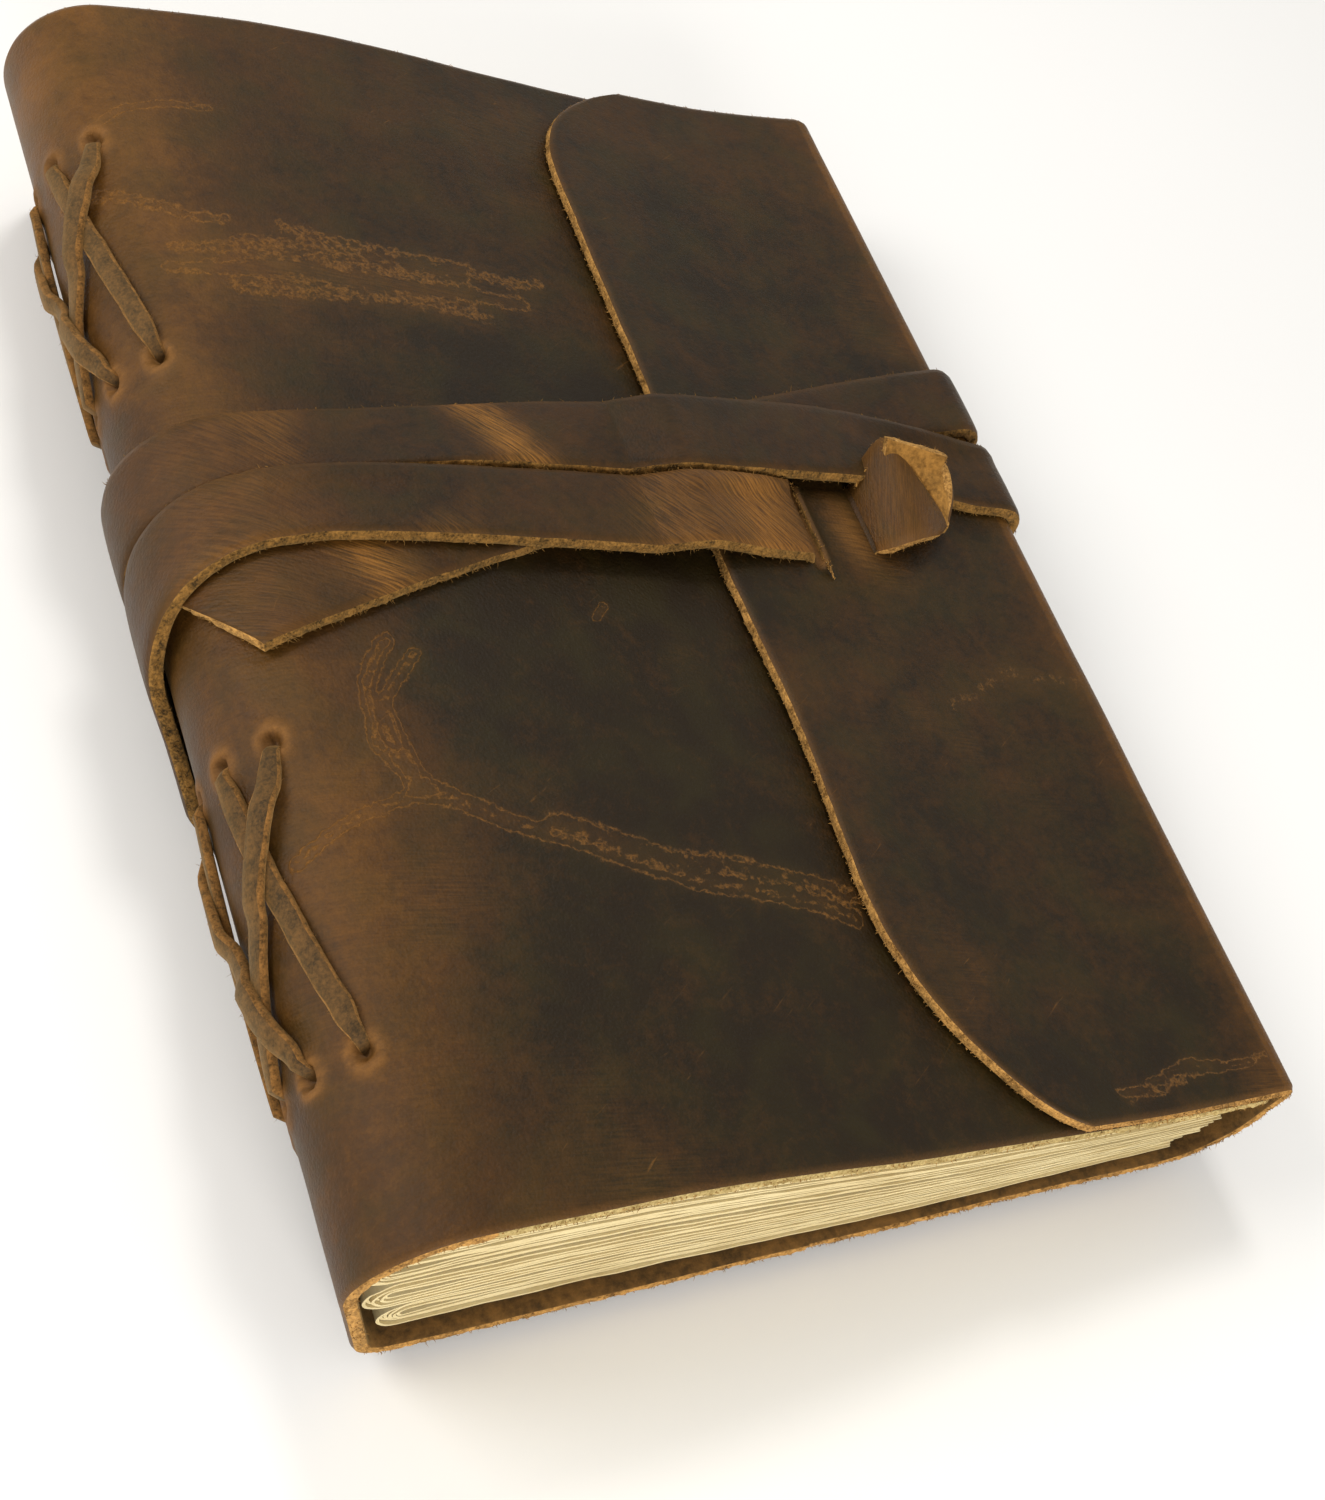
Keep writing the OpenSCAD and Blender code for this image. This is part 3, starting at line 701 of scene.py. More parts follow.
# A lip raised along the first slit, the pucker round the knot's slit and the seat of the strap
dx, dy_in = X - slit_x, smooth((Y - slit_y[0] + 0.6) / 1.2) * smooth((slit_y[1] - Y + 0.6) / 1.2)
is_flap = np.zeros_like(X); is_flap[turn_n:] = 1
lip = np.exp(-((dx - 0.9) / 0.8) ** 2) * dy_in * is_flap
cut = np.exp(-((dx + 0.25) / 0.45) ** 2) * dy_in * is_flap
pucker = np.exp(-((X - 94) / 3.0) ** 2 - ((Y - 90.5) / 6.5) ** 2) * is_flap
seat_in = is_flap * smooth((X - 86.0) / 1.5) * smooth((98.0 - X) / 1.5) \
    * smooth((Y - 83.8) / 1.5) * smooth((98.6 - Y) / 1.5)
up_by += 0.75 * lip - 1.2 * cut + 0.35 * pucker + 0.35 * seat_in
vein = line_mask(X, Y, [(96.1, 4.3), (110, 5.6), (124.6, 4.9)], 0.6) * is_flap * 0.7
vein += line_mask(X, Y, [(97, 2.9), (112, 4.6), (120, 4.6)], 0.5) * is_flap * 0.4
vein += line_mask(X, Y, [(98, 62), (110, 66), (124, 64)], 2.0) * is_flap * 0.25
vein = np.clip(vein, 0, 1)
end_round = 0.35 * (np.exp(-(Y / 0.45) ** 2) + np.exp(-((length - Y) / 0.45) ** 2))
edge_round = np.zeros_like(X)
edge_round[turn_n:] = 0.35 * np.exp(-((Xf - edge[None, :]) / 0.5) ** 2)
drop = np.maximum(end_round, edge_round)
sway = 0.3 * fractal(S, 0 * S, 26, 81, 2)
Yw = Y + (1 - smooth(Y / 12)) * sway + smooth((Y - length + 12) / 12) * sway
nrx, nrz = nr[:, 0][:, None], nr[:, 1][:, None]
off = up_by - drop
outer[:turn_n] = np.stack([qr[:, 0][:, None] + nrx * off[:turn_n], Yw[:turn_n],
                           qr[:, 1][:, None] + nrz * off[:turn_n]], -1)
und = -leather + 0.5 * drop
inner[:turn_n] = np.stack([qr[:, 0][:, None] + nrx * und[:turn_n], Yw[:turn_n],
                           qr[:, 1][:, None] + nrz * und[:turn_n]], -1)
ragged = 0.14 * fractal(Y[turn_n:] * 1.0, Y[turn_n:] * 0, 3.5, 91, 4) * frac ** 6
base = front_top(Xf) + gap + 0.05
outer[turn_n:] = np.stack([Xf + ragged, Yw[turn_n:], base + leather + flap_wave[turn_n:] + off[turn_n:]], -1)
seat_up = 1.5 * seat_in[turn_n:]
inner[turn_n:] = np.stack([Xf + ragged, Yw[turn_n:],
                           base + flap_wave[turn_n:] + 0.5 * drop[turn_n:] + seat_up], -1)
uv = np.stack([S + 300, Y], -1) * 0.01
warm = 0.10 + 0.45 * np.exp(-((X - fore_x) / 5) ** 2) + 0.12 * fractal(S, Y, 30, 101, 3)
warm = warm + 0.10 * smooth((Y - 120) / 60) + 0.15 * np.exp(-((Y - 64) / 7) ** 2) * is_flap
warm = warm + 0.3 * (1 - is_flap) + 0.35 * pucker
rub = np.clip(fractal(S, Y, 22, 111, 3) - 0.3, 0, 1) * 0.7 + 0.5 * pucker
edge_wear = 0.3 * (np.exp(-(Y / 0.6) ** 2) + np.exp(-((length - Y) / 0.6) ** 2)
                   + is_flap * np.exp(-((X - edge[None, :]) / 0.5) ** 2))
rim = np.clip(edge_wear + 0.9 * np.exp(-((dx - 0.2) / 0.7) ** 2) * dy_in * is_flap + 0.25 * pucker, 0, 1)
values = {"warm": np.clip(warm, 0, 1), "rub": np.clip(rub, 0, 1), "rim": rim, "vein": vein}
parts = sheet_mesh(outer, inner, uv, values, 17, open_low=True, rough=0.26)
hairs = fibres(*parts[5], 4200, 18, (0.15, 0.55), 0.07)
# Torn fuzz along the slit
lip_y = np.linspace(slit_y[0] - 2.0, slit_y[1], 60)
lip_x = slit_x + 0.35 + 0.02 * (slit_y[1] - lip_y) + 0.15 * noise(lip_y, 0 * lip_y, 1.3, 19)
lip_z = front_top(lip_x) + gap + leather + 0.55 + 0.15 * noise(lip_y, 0 * lip_y, 1.7, 20)
lip_o = np.stack([lip_x, lip_y, lip_z], 1)
lip_i = lip_o + np.array([0.7, 0, -0.5])
lip_away = np.tile(np.array([-0.5, -0.25, 0.83]), (60, 1))
more = fibres(lip_o, lip_i, lip_away, np.arange(60) < 59, 420, 19, (0.25, 0.8), 0.10)
hairs = (np.concatenate([hairs[0], more[0]]), np.concatenate([hairs[1], more[1] + len(hairs[0])]),
         np.concatenate([hairs[2], more[2] + len(hairs[0])]))
cover_flap_side = finish_sheet("cover_flap_side", parts, [cover_grain, flesh, cut_edge],
                               np.array([0, 0, -1.0]), hairs)
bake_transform(cover_flap_side)
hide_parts("fore_edge_turn", "flap")

# ---------------------------------------------------------------- strap
strap_line = (front_line(fold[0], roll[0], 0.0, 160) + arc(roll, spine_r, 90, side_angle, 60)
              + arc(foot, foot_r, side_angle, 270, 20) + [(foot[0], 0.0), (heel[0], 0.0)]
              + arc(heel, heel_r, -90, 0, 24) + arc(fold, fold_r, 0, 90, 16))
line = []
for k, (x, z) in enumerate(strap_line):
    if k < 160:
        z = z + (leather + gap) * float(np.clip((x - (flap_free - 3) + 8) / 8, 0, 1))
    line.append((x, z))
ql, tl, sl = path_from(line, 0.5)
nl = np.stack([tl[:, 1], -tl[:, 0]], 1)
loop_len = sl[-1]
top_s = sl[np.argmin(np.hypot(ql[:, 0] - roll[0], ql[:, 1] - spine_h))]


def on_front_s(x):
    """Distance along the loop of the place at x on the front."""
    part = sl <= top_s
    return float(np.interp(-x, -ql[part, 0], sl[part]))


foot_s = top_s + math.radians(side_angle - 90) * spine_r \
    + math.sqrt(math.dist(roll, foot) ** 2 - (spine_r - foot_r) ** 2) \
    + math.radians(270 - side_angle) * foot_r
heel_s = foot_s + heel[0] - foot[0]
turn_s = heel_s + math.pi / 2 * heel_r + (fold[1] - heel[1])


def F(x, turn_no):
    return on_front_s(x) + turn_no * loop_len


def R(u, turn_no):
    return top_s + u + turn_no * loop_len


# Each key is the distance along the loop and the two edges along y, tail side then head side
keys = [
    (F(slit_x - 0.3, 0), 85.0, 96.9), (F(66, 0), 84.0, 95.7), (F(40, 0), 83.5, 94.6),
    (F(22, 0), 83.8, 94.1), (F(10, 0), 84.2, 93.6), (R(4, 0), 82.9, 92.9), (R(10, 0), 80.4, 91.8),
    (R(19, 0), 75.2, 89.6), (R(31, 0), 70.4, 83.6), (foot_s, 67.0, 79.2),
    (heel_s, 93.0, 105.0), (turn_s, 93.0, 105.0), (loop_len, 93.4, 105.4),
    (F(113, 1), 95.8, 107.2), (F(106, 1), 97.4, 109.2), (F(98, 1), 97.8, 110.4), (F(88, 1), 97.7, 110.4),
    (F(70, 1), 97.1, 109.2), (F(50, 1), 96.0, 107.1),
    (F(28, 1), 95.3, 104.9), (F(12, 1), 94.9, 104.2), (R(4, 1), 93.9, 103.8), (R(10, 1), 92.6, 103.4),
    (R(19, 1), 90.2, 102.4), (R(31, 1), 84.8, 97.2), (foot_s + loop_len, 80.4, 92.6),
    (heel_s + loop_len, 109.0, 121.0), (turn_s + loop_len, 109.4, 121.4)]
bend_x = 32.0
low_pts = [(fold[0], 108.9), (108, 107.6), (90, 101.8), (bend_x, 81.5), (2.2, 70.7)]
high_pts = [(fold[0], 121.2), (108, 118.8), (90, 114.0), (68, 107.0), (bend_x, 94.1), (-5.1, 80.9)]


def diag_edges(x):
    low = np.interp(x, [p[0] for p in low_pts[::-1]], [p[1] for p in low_pts[::-1]])
    high = np.interp(x, [p[0] for p in high_pts[::-1]], [p[1] for p in high_pts[::-1]])
    return low, high


keys = np.array(keys)
end_loop = 2 * loop_len
grid_s = np.arange(keys[0, 0], end_loop, 0.7)
yl = np.interp(grid_s, keys[:, 0], keys[:, 1])
yh = np.interp(grid_s, keys[:, 0], keys[:, 2])
kernel = np.exp(-(np.arange(-18, 19) * 0.7 / 4.5) ** 2 / 2)
kernel /= kernel.sum()


def soften(v):
    padded = np.concatenate([2 * v[0] - v[18:0:-1], v, 2 * v[-1] - v[-2:-20:-1]])
    return np.convolve(padded, kernel, "valid")


# The last length runs on from the second turn: its two edges have their own places along the loop
def front_u_to_s(u, turn_no):
    """u is x on the front, and goes on past the top of the roll as 6 minus the distance round."""
    u = np.asarray(u, float)
    on = np.array([on_front_s(max(v, roll[0])) for v in np.atleast_1d(u)])
    return np.where(np.atleast_1d(u) >= roll[0], on, top_s + roll[0] - np.atleast_1d(u)) + turn_no * loop_len


steps = 190
w = np.linspace(0, 1, steps)


def along(points, w):
    p = np.array(points, float)
    d = np.concatenate([[0], np.cumsum(np.hypot(*np.diff(p, axis=0).T))])
    d /= d[-1]
    return np.interp(w, d, p[:, 0]), np.interp(w, d, p[:, 1])


xl_d, yl_d = along(low_pts, w)
xh_d, yh_d = along(high_pts, w)
sL = np.concatenate([grid_s, front_u_to_s(xl_d, 2)[1:]])
sH = np.concatenate([grid_s, front_u_to_s(xh_d, 2)[1:]])
yL = soften(np.concatenate([yl, yl_d[1:]]))
yH = soften(np.concatenate([yh, yh_d[1:]]))
stations = len(sL)
across = 15
v = np.linspace(0, 1, across)
SS = sL[:, None] * (1 - v) + sH[:, None] * v
YY = yL[:, None] * (1 - v) + yH[:, None] * v
turn_no = np.floor(SS / loop_len)
local = SS - turn_no * loop_len
PX = np.interp(local, sl, ql[:, 0]); PZ = np.interp(local, sl, ql[:, 1])
NX = np.interp(local, sl, nl[:, 0]); NZ = np.interp(local, sl, nl[:, 1])
NN = np.hypot(NX, NZ); NX, NZ = NX / NN, NZ / NN
is_front = local <= top_s + 1
u_here = np.where(is_front, PX, roll[0] - (local - top_s))
band = turn_no < 2
low_e, high_e = diag_edges(u_here)
inside = np.minimum(YY - low_e, high_e - YY)
end_side = u_here + 6.0                              # past the cut end there is nothing to lie on
over = smooth((inside + 5.5) / 5.0) * smooth(end_side / 4 + 0.6)
near_front = (local <= top_s + 16)
over_free = over * band * near_front
# Pulled tight, each band comes down slowly from where it lies on the last length
lower_ease = smooth((84 - u_here) / 22) * smooth((u_here + 9) / 8) * (turn_no == 0)
upper_ease = smooth((u_here - 12) / (24 + 26 * v[None, :])) * smooth((114 - u_here) / 12) * (turn_no == 1)
rise = np.maximum(over_free, (lower_ease + upper_ease) * near_front)
for _ in range(2):
    wide = np.pad(rise, ((6, 6), (0, 0)), mode="edge")
    rise = sum(wide[k:k + stations] for k in range(13)) / 13
rise_h = (strap_t + 0.3) * rise
# The lower band lies a little over the upper one near the spine
lap = bump(u_here, 12, 14) * (turn_no == 0) * is_front * smooth((v - 0.55) / 0.4)[None, :] * 0.5
# A little slack round the spine
round_u = local - top_s
slack = 0.55 * bump(round_u, 17, 9) * (turn_no < 2)
seat = np.where(is_front, wave(PX, YY), 0.0)
low_off = gap + rise_h + lap + slack + seat
# The band dives into the slit at its start
dive = smooth((grid_s[0] + 2.2 - SS) / 2.2) * (turn_no == 0)
low_off = low_off - 2.4 * dive
low_off[-1] = low_off[-2]
tail_lift = 0.5 * smooth((np.arange(stations) - (stations - 20)) / 20)[:, None]
low_off = low_off + tail_lift * (1 - v)[None, :]
crown = 0.12 * (1 - (2 * v - 1) ** 2)[None, :]
edge_drop = 0.28 * (np.exp(-(v * 12 / 0.5) ** 2) + np.exp(-((1 - v) * 12 / 0.5) ** 2))[None, :]
dist = np.arange(stations) * 0.7
D = np.repeat(dist[:, None], across, 1)
skin = 0.07 * fractal(D, YY, 9, 131, 3)
top_off = low_off + strap_t + crown - edge_drop + skin
edge_side = np.repeat(np.round(v)[None, :] * 40, stations, 0)       # each long edge wanders on its own
Ys = YY + 0.12 * fractal(D, edge_side, 3, 141, 3) * np.abs(2 * v - 1)[None, :] ** 4
outer = np.stack([PX + NX * top_off, Ys, PZ + NZ * top_off], -1)
inner = np.stack([PX + NX * low_off, Ys, PZ + NZ * low_off], -1)
uv = np.stack([D + 600, 12 * np.repeat(v[None, :], stations, 0)], -1) * 0.01
front_u = np.where(is_front, PX, -99)
warm = 0.20 + 0.16 * fractal(D, YY, 30, 151, 3)
warm += 0.22 * bump(round_u, 6, 14)
# Pulled light streaks: by the slit, on the upper band and on the cut end
rub = 0.75 * bump(front_u, 77, 7) * (turn_no == 0) \
    + 0.35 * bump(front_u, 62, 7) * (turn_no == 0) \
    + 0.9 * bump(front_u + (YY - 100) * 0.55, 40, 3.6) * (turn_no == 1) \
    + 0.7 * bump(front_u + (YY - 80) * 0.5, 18, 4) * (turn_no == 2) \
    + 0.15 * bump(round_u, 3, 8) \
    + np.clip(fractal(D, YY, 20, 161, 3) - 0.3, 0, 1) * 0.7
warm += 0.42 * bump(front_u, 77, 9) * (turn_no == 0)
edge_wear = 0.16 * (np.exp(-(v * 12 / 0.5) ** 2) + np.exp(-((1 - v) * 12 / 0.5) ** 2))[None, :] + 0 * D
values = {"warm": np.clip(warm, 0, 1), "rub": np.clip(rub, 0, 1), "rim": edge_wear, "vein": 0 * D}
parts = sheet_mesh(outer, inner, uv, values, 27, rough=0.28,
                   fourth=lambda li, lj, I, J: (li == I - 1))
hairs = fibres(*parts[5], 7000, 28, (0.2, 0.7), 0.075)
strap = finish_sheet("strap", parts, [strap_grain, flesh, strap_edge, cut_edge], np.array([0, 0, 1.0]), hairs)
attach(strap, "strap")
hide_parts("strap_front_lower", "strap_spine_lower", "strap_back_lower", "strap_fore_lower",
            "strap_front_upper", "strap_spine_upper", "strap_back_upper", "strap_fore_upper", "strap_tail")

# ---------------------------------------------------------------- signatures
block_low = leather + 0.3
block_high = spine_h - leather - 0.35
fold_step = (block_high - block_low) / 4
fold_at = (5.0, 1.8, 3.5, 7.0)
reach = (fore_x - 5, fore_x - 5, fore_x - 6, fore_x - 8.5)
recess = 2.3
page_gap = 0.24


def level(x, k):
    top = front_top(np.maximum(x, roll[0])) - leather - 0.35
    return block_low + (top - block_low) * (4 - k) / 4


sheets = 6
for number in range(4):
    rng = np.random.RandomState(200 + number)
    x0, x1 = fold_at[number], reach[number]
    zc = block_high - fold_step * (number + 0.5)
    half0 = (fold_step - page_gap) / 2
    all_v, all_f, count = [], [], 0
    for k in range(sheets):
        end_x = x1 - 1.1 * k / sheets - rng.rand() * 0.5
        xs = np.linspace(end_x, x0, 34)
        share = 1 - (k + 0.5) / sheets
        hi = level(xs, number) - page_gap / 2
        lo = level(xs, number + 1) + page_gap / 2
        mid_z = (hi + lo) / 2
        half = (hi - lo) / 2
        open_in = 0.75 * (1 - smooth((xs - x0) / 12))
        o = open_in + (half - open_in) * share
        thick = np.maximum((half - open_in) / sheets * 0.80, 0.10)
        r = 0.75 + (half0 - 0.75) * share
        th = (half0 - 0.75) / sheets * 0.80
        top = np.stack([xs, mid_z + o], 1)
        bottom = np.stack([xs[::-1], (mid_z - o)[::-1]], 1)
        ang = np.radians(np.linspace(97, 263, 16))
        bend = np.stack([x0 + r * np.cos(ang), zc + r * np.sin(ang)], 1)
        pts = np.concatenate([top, bend, bottom])
        th_all = np.concatenate([thick, np.full(16, th), thick[::-1]])
        tt = np.gradient(pts, axis=0); tt /= np.linalg.norm(tt, axis=1)[:, None]
        nn = np.stack([tt[:, 1], -tt[:, 0]], 1)
        tail_y = recess + 0.45 * (rng.rand() - 0.5) - 0.9 * smooth((pts[:, 0] - 20) / 60) \
            + 0.10 * noise(pts[:, 0], pts[:, 1] * 3 + k * 7, 3.0, 210 + number)
        head_y = length - recess + 0.45 * (rng.rand() - 0.5) + 0.6 * smooth((pts[:, 0] - 20) / 60) \
            + 0.10 * noise(pts[:, 0], pts[:, 1] * 3 + k * 7, 3.0, 220 + number)
        cols = np.array([0, 0.02, 0.25, 0.5, 0.75, 0.98, 1.0])
        Yc = tail_y[:, None] * (1 - cols) + head_y[:, None] * cols
        a = pts[:, None, :] + nn[:, None, :] * (th_all / 2)[:, None, None] + np.zeros((1, len(cols), 1))
        b = pts[:, None, :] - nn[:, None, :] * (th_all / 2)[:, None, None] + np.zeros((1, len(cols), 1))
        va = np.stack([a[..., 0], Yc, a[..., 1]], -1).reshape(-1, 3)
        vb = np.stack([b[..., 0], Yc, b[..., 1]], -1).reshape(-1, 3)
        I2, J2 = len(pts), len(cols)
        g = np.arange(I2 * J2).reshape(I2, J2)
        fa = np.stack([g[:-1, :-1], g[1:, :-1], g[1:, 1:], g[:-1, 1:]], -1).reshape(-1, 4)
        fb = fa[:, ::-1] + I2 * J2
        ring = np.concatenate([g[:, 0], g[-1, 1:], g[-2::-1, -1], g[0, -2:0:-1]])
        nxt = np.roll(ring, -1)
        fc = np.stack([nxt, ring, ring + I2 * J2, nxt + I2 * J2], -1)
        all_v += [va, vb]
        all_f.append(np.concatenate([fa, fb, fc]) + count)
        count += 2 * I2 * J2
    verts = np.concatenate(all_v)
    faces = np.concatenate(all_f)
    pages = link(f"pages_{number + 1}", to_frame(verts), faces, [paper], np.zeros(len(faces), int),
                 smooth_faces=False)
    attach(pages, "first_signature" if number == 0 else "book")
    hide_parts(f"signature_{number + 1}")

for name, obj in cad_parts.items():
    if "stitch" in name:
        obj.data.materials.clear()
        obj.data.materials.append(thong_suede)


# ---------------------------------------------------------------- lacing thongs
def spine_at(s, off):
    a_end = math.radians(side_angle - 90) * spine_r
    s = np.asarray(s, float)
    a = np.radians(90) + np.minimum(s, a_end) / spine_r
    nx, nz = np.cos(a), np.sin(a)
    past = np.maximum(s - a_end, 0)
    x = roll[0] + spine_r * nx + past * -math.sin(math.radians(side_angle)) + nx * off
    z = roll[1] + spine_r * nz + past * math.cos(math.radians(side_angle)) + nz * off
    return x, z, nx, nz


def thong_piece(name, h_from, h_to, ys, crossings, seed, width=2.5, thick=1.15):
    """One strand: out of a hole, over the spine and into another hole."""
    rng = np.random.RandomState(seed)
    m = 46
    u = np.linspace(0, 1, m)
    s0, s1 = hole_s[h_from - 1], hole_s[h_to - 1]
    y0, y1 = ys[1], ys[0]
    bow = 1.3 * (rng.rand() - 0.5)
    s = s0 + (s1 - s0) * smooth(u * 0.9 + 0.05) * 0.25 + (s1 - s0) * u * 0.75 \
        + bow * np.sin(np.pi * u)
    s += (s1 - s[-1]) * u + (s0 - s[0]) * (1 - u)
    y = y0 + (y1 - y0) * u
    run = np.hypot(s1 - s0, y1 - y0)
    ds, dy = (s1 - s0) / run, (y1 - y0) / run
    hgt = 0.15 + 0.35 * np.sin(np.pi * u)
    for c, w_c in crossings:
        hgt = np.maximum(hgt, 0.15 + (thick + 0.2) * smooth((w_c + 0.07 - np.abs(u - c)) / 0.12))
    # The ends go down through the holes
    plunge = np.clip(np.maximum(1 - u * run / 1.8, 1 - (1 - u) * run / 1.8), 0, 1)
    hgt = hgt - 2.6 * plunge ** 1.5
    narrow = 1 - 0.38 * smooth(np.maximum(1 - u * run / 5, 1 - (1 - u) * run / 5) * 1.2)
    roll_edge = 0.25 * np.sin(2 * np.pi * u * (0.6 + rng.rand()) + rng.rand() * 6)
    wob = 0.10 * noise(u * run, u * 0 + seed, 2.2, seed)
    ring_a = [(-1, 0.15), (-1, 0.72), (-0.8, 0.97), (-0.3, 1.05), (0.3, 1.05), (0.8, 0.97), (1, 0.72),
              (1, 0.15), (0.75, 0.0), (0, -0.03), (-0.75, 0.0)]
    verts, faces = [], []
    for (a, b) in ring_a:
        half_w = width / 2 * narrow * (1 + 0.05 * noise(u * run, u * 0 + a * 9 + seed, 1.2, seed + 3))
        side = a * half_w + wob
        ss = s - dy * side
        yy = y + ds * side
        h = hgt + b * thick + roll_edge * a * 0.6
        x, z, _, _ = spine_at(ss, h)
        verts.append(np.stack([x, yy, z], -1))
    V = np.stack(verts, 1)
    R_ = len(ring_a)
    g = np.arange(m * R_).reshape(m, R_)
    for i in range(m - 1):
        for k in range(R_):
            faces.append((g[i, k], g[i + 1, k], g[i + 1, (k + 1) % R_], g[i, (k + 1) % R_]))
    faces.append(tuple(g[0]))
    faces.append(tuple(g[-1][::-1]))
    V = V.reshape(-1, 3)
    # Fuzz on the two long edges
    rings = V.reshape(m, R_, 3)
    all_verts, count = [V], len(V)
    for edge, below, more in ((2, 0, 5), (5, 7, 6)):
        away = rings[:, edge] - rings[:, 9]
        away /= np.linalg.norm(away, axis=1)[:, None]
        hv, hq, ht = fibres(rings[:, edge], rings[:, below], away, np.arange(m) < m - 1, 70,
                            seed + more, (0.2, 0.6), 0.035)
        faces += [tuple(f) for f in hq + count] + [tuple(f) for f in ht + count]
        all_verts.append(hv)
        count += len(hv)
    index = np.zeros(len(faces), int)
    for i in range(m - 1):
        for k in (2, 3, 4):
            index[i * R_ + k] = 1
    return link(name, to_frame(np.concatenate(all_verts)), faces, [thong_suede, thong_top], index)


near, far = (1 / 3, 0.16), (0.75, 0.12)
patterns = ((1, 3, [near]), (2, 1, [(0.0, 0.0)]), (3, 4, [(0.0, 0.0)]), (4, 2, [near, far]))
for group, ys in (("tail", tail_rows), ("head", head_rows)):
    for number, (a, b, crossings) in enumerate(patterns):
        strand = thong_piece(f"thong_{group}_{number + 1}", a, b, ys, crossings,
                             300 + 10 * number + (50 if group == "head" else 0))
        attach(strand, "book")
        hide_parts(f"{group}_lace_{number + 1}")

# ---------------------------------------------------------------- knot


def ribbon(number, stations, thick, bow, across=9):
    """A thick ribbon through stations of (low edge point, high edge point), in mm."""
    low = np.array([p for p, _ in stations], float)
    high = np.array([p for _, p in stations], float)
    m = 40
    t1 = np.linspace(0, 1, m)

    def curve(p):
        # Catmull-Rom through the stations
        out = np.zeros((m, 3))
        ext = np.concatenate([[2 * p[0] - p[1]], p, [2 * p[-1] - p[-2]]])
        for i, t in enumerate(t1 * (len(p) - 1)):
            k = min(int(t), len(p) - 2); f = t - k
            a, b, c, d = ext[k:k + 4]
            out[i] = 0.5 * (2 * b + (c - a) * f + (2 * a - 5 * b + 4 * c - d) * f ** 2
                            + (-a + 3 * b - 3 * c + d) * f ** 3)
        return out
    L, H = curve(low), curve(high)
    v = np.linspace(0, 1, across)
    P = L[:, None] * (1 - v[None, :, None]) + H[:, None] * v[None, :, None]
    du = np.gradient(P, axis=0)
    dv = (H - L)[:, None] + np.zeros_like(P)
    nrm = np.cross(du, dv)
    nrm /= np.linalg.norm(nrm, axis=-1)[..., None]
    P = P + nrm * (bow * (1 - (2 * v - 1) ** 2))[None, :, None]
    edge_drop = 0.3 * (np.exp(-(v * 12 / 0.8) ** 2) + np.exp(-((1 - v) * 12 / 0.8) ** 2))[None, :]
    outer = P - nrm * edge_drop[..., None]
    inner = P - nrm * thick
    D = np.linspace(0, 40, m)[:, None] + 0 * v[None, :]
    uv = np.stack([D + 900 + 50 * number, 12 * v[None, :] + 0 * D], -1) * 0.01
    return outer, inner, uv, D, v


def knot_part(seed, stations, warm, rub, bow, thick=1.9):
    """A strip of the knot with its values and fibres."""
    outer, inner, uv, D, v = ribbon(seed, stations, thick, bow)
    wear = 0.4 * (np.exp(-(v * 12 / 0.9) ** 2) + np.exp(-((1 - v) * 12 / 0.9) ** 2))[None, :] + 0 * D
    vals = {"warm": np.clip(warm + 0.12 * fractal(D, 12 * v[None, :] + 0 * D, 6, 400 + seed, 3), 0, 1),
            "rub": np.clip(rub + 0 * D, 0, 1), "rim": wear, "vein": 0 * D}
    parts = sheet_mesh(outer, inner, uv, vals, 410 + seed, rough=0.12)
    hairs = fibres(*parts[5], 260, 420 + seed, (0.15, 0.55), 0.035)
    return parts, hairs


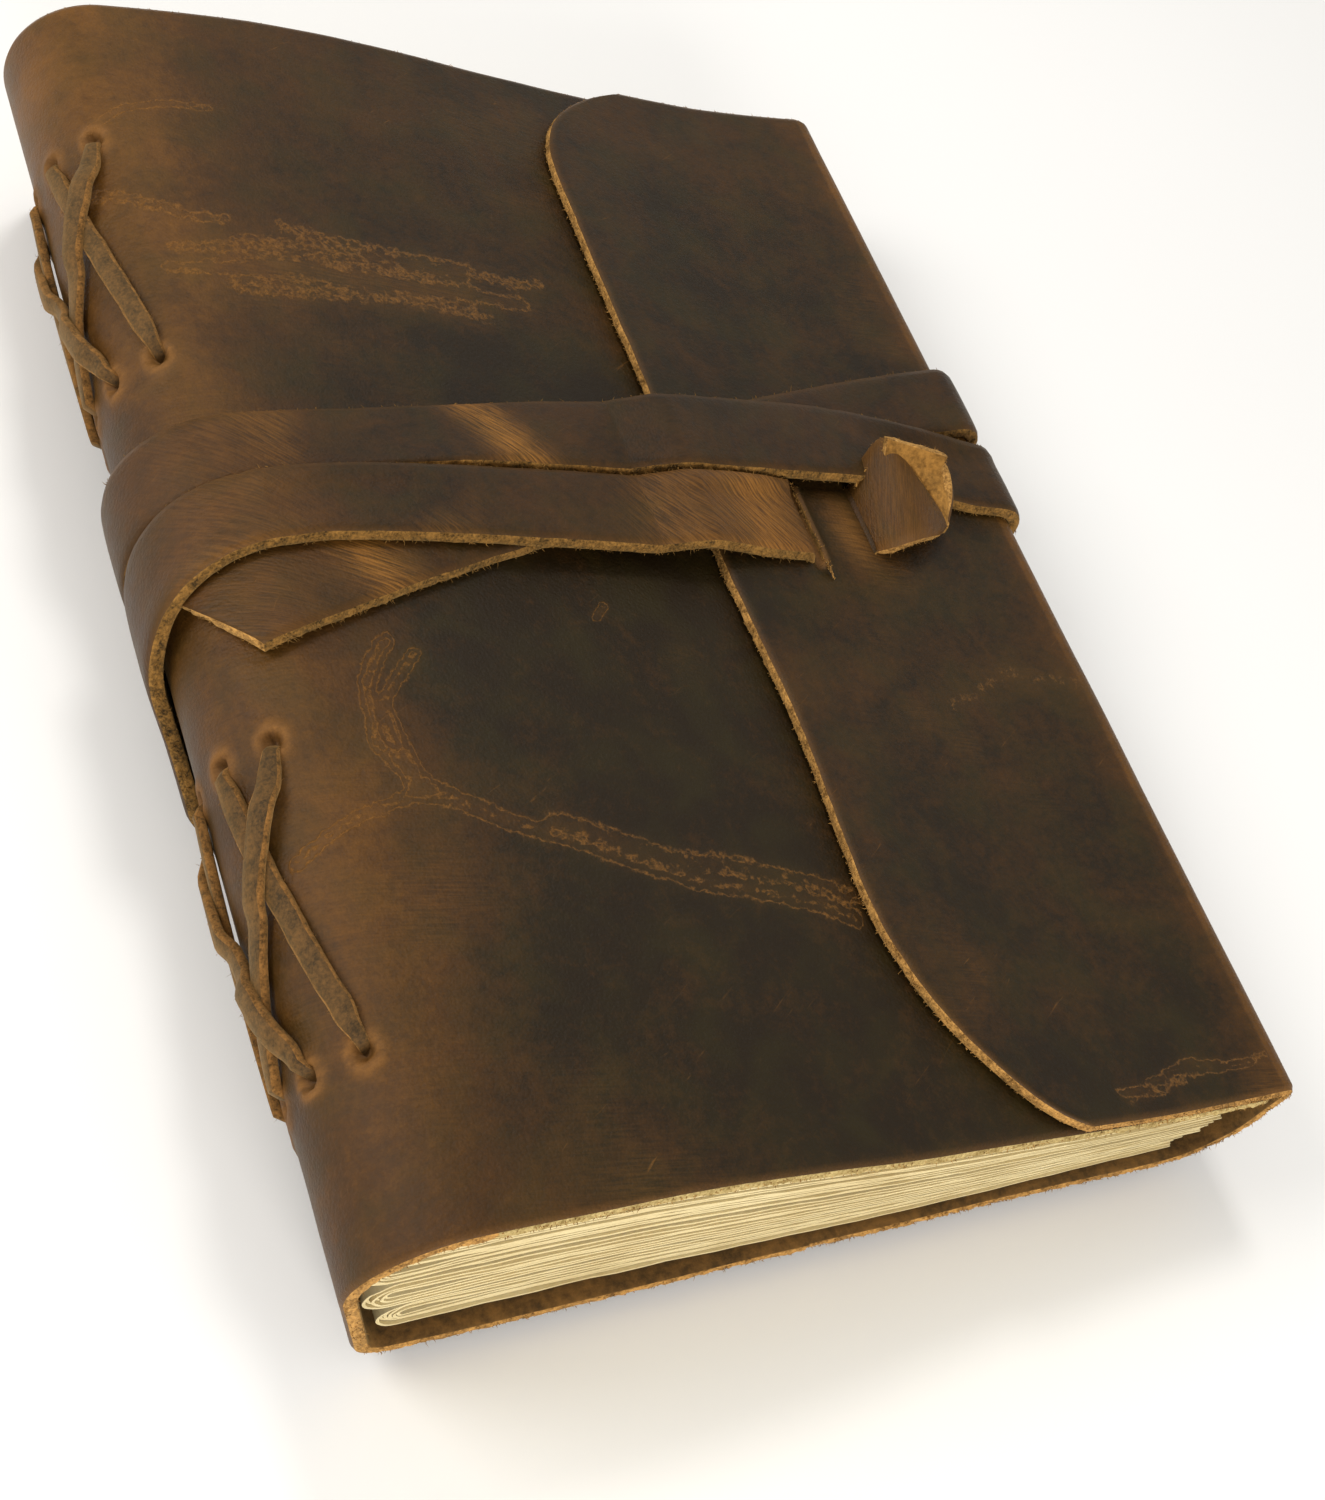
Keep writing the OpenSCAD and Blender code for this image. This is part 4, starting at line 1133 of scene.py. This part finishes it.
# Each strip: its stations of a low and a high edge point, how warm, how rubbed, its bow,
# and whether its flesh side shows
knot_strips = [
    # Main wrap: up out of the slit, rising to the apex, and down on the far side
    ([((96.4, 87.2, 21.2), (96.4, 98.4, 21.2)), ((97.4, 87.2, 23.4), (97.3, 98.7, 23.6)),
      ((98.8, 86.4, 25.4), (98.4, 100.2, 26.6)), ((100.8, 86.1, 26.8), (100.0, 101.4, 29.8)),
      ((103.0, 86.3, 27.3), (101.8, 101.5, 31.2)), ((105.6, 87.0, 26.8), (103.8, 98.8, 30.6)),
      ((107.8, 87.9, 25.8), (105.9, 95.6, 29.3)), ((109.6, 88.9, 24.6), (108.8, 91.9, 27.0)),
      ((110.6, 90.0, 23.9), (110.6, 90.9, 24.8))], 0.42, 0.18, 0.35, False),
    # Folded facet, flesh side out, hanging from the ridge to the lower right corner
    ([((104.6, 97.6, 29.9), (110.9, 98.0, 30.2)), ((106.4, 95.2, 29.0), (111.4, 96.0, 28.9)),
      ((108.4, 92.4, 27.0), (111.3, 93.2, 27.2)), ((110.2, 90.2, 24.8), (111.0, 90.6, 24.9))],
     0.7, 0.6, 0.1, True),
    # Cut end standing up behind the ridge
    ([((101.6, 98.4, 26.6), (109.0, 95.9, 26.0)), ((101.4, 100.2, 29.0), (109.9, 97.6, 28.6)),
      ((101.5, 101.7, 31.3), (110.6, 98.6, 30.9))], 0.7, 0.7, 0.1, False),
    # Side of the knot towards the fore-edge and the head, down to the flap
    ([((111.2, 90.2, 22.6), (111.3, 90.8, 24.9)), ((112.3, 92.4, 22.6), (111.9, 93.6, 27.8)),
      ((112.4, 95.2, 22.6), (111.6, 97.2, 29.6)), ((109.8, 96.9, 22.7), (109.6, 98.8, 29.4)),
      ((105.0, 97.5, 22.8), (105.2, 100.2, 29.2)), ((100.6, 97.6, 22.9), (101.2, 100.9, 28.6)),
      ((97.6, 97.2, 22.9), (98.4, 99.4, 25.6))], 0.35, 0.1, 0.25, False),
    # Core that fills the wraps
    ([((98.0, 88.4, 22.4), (98.0, 96.4, 22.6)), ((99.8, 88.2, 24.6), (99.8, 96.8, 26.0)),
      ((103.6, 88.4, 25.4), (104.0, 96.0, 27.2)), ((107.6, 89.8, 24.2), (108.6, 94.6, 26.0)),
      ((110.4, 91.4, 22.6), (110.8, 94.6, 22.8))], 0.3, 0.1, 0.0, False)]
verts_all, faces_all, idx_all, uv_all = [], [], [], []
vals_all = {"warm": [], "rub": [], "rim": [], "vein": []}
count = 0
for k, (st, warm_k, rub_k, bow_k, flesh_out) in enumerate(knot_strips):
    (verts, faces, index, uvk, data, _), (hv, hq, ht) = knot_part(k, st, warm_k, rub_k, bow_k)
    nv = len(verts)
    verts_all += [verts, hv]
    mats_k = np.where(index == 0, 3, index) if flesh_out else np.where(index == 1, 3, index)
    faces_all += [tuple(f) for f in faces + count] + [tuple(f) for f in hq + count + nv] \
        + [tuple(f) for f in ht + count + nv]
    idx_all += list(mats_k) + [2] * (len(hq) + len(ht))
    uv_all += [uvk, hv[:, :2] * 0.01]
    for key in vals_all:
        vals_all[key] += [data[key], np.zeros(len(hv))]
    count += nv + len(hv)
knot = link("knot_ribbon", to_frame(np.concatenate(verts_all)), faces_all,
            [strap_grain, flesh, cut_edge, gold_flesh], idx_all, np.concatenate(uv_all),
            {k: np.concatenate(v) for k, v in vals_all.items()})
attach(knot, "flap")
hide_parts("knot")

# ---------------------------------------------------------------- strap's end under the flap
ax = np.concatenate([[86.9, 87.0], np.linspace(87.5, 96.2, 26), [97.0, 97.3]])
a_low = front_top(ax) + gap + 0.25
a_low[:2] += (1.7, 1.0)
a_low[-2:] += (0.8, 1.6)
av = np.linspace(0, 1, 11)
AX = np.repeat(ax[:, None], 11, 1)
AY = 85.2 + 0.15 * (AX - 87) + 11.6 * av[None, :]
AZ = np.repeat(a_low[:, None], 11, 1)
rounding = 0.2 * (np.exp(-(av * 12 / 0.6) ** 2) + np.exp(-((1 - av) * 12 / 0.6) ** 2))[None, :]
outer = np.stack([AX, AY, AZ + rounding], -1)
inner = np.stack([AX, AY, AZ + 1.15 - rounding], -1)
zero = 0 * AX
values = {"warm": zero + 0.3, "rub": np.clip(fractal(AX, AY, 6, 501, 3), 0, 1) * 0.6,
          "rim": zero, "vein": zero}
parts = sheet_mesh(outer, inner, np.stack([AX + 1200, AY], -1) * 0.01, values, 511, rough=0.1)
hairs = fibres(*parts[5], 300, 512, (0.15, 0.4), 0.05)
under_flap = finish_sheet("strap_end_under_flap", parts, [flesh, strap_grain, strap_edge],
                          np.array([0, 0, -1.0]), hairs)
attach(under_flap, "flap")
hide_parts("strap_anchor")
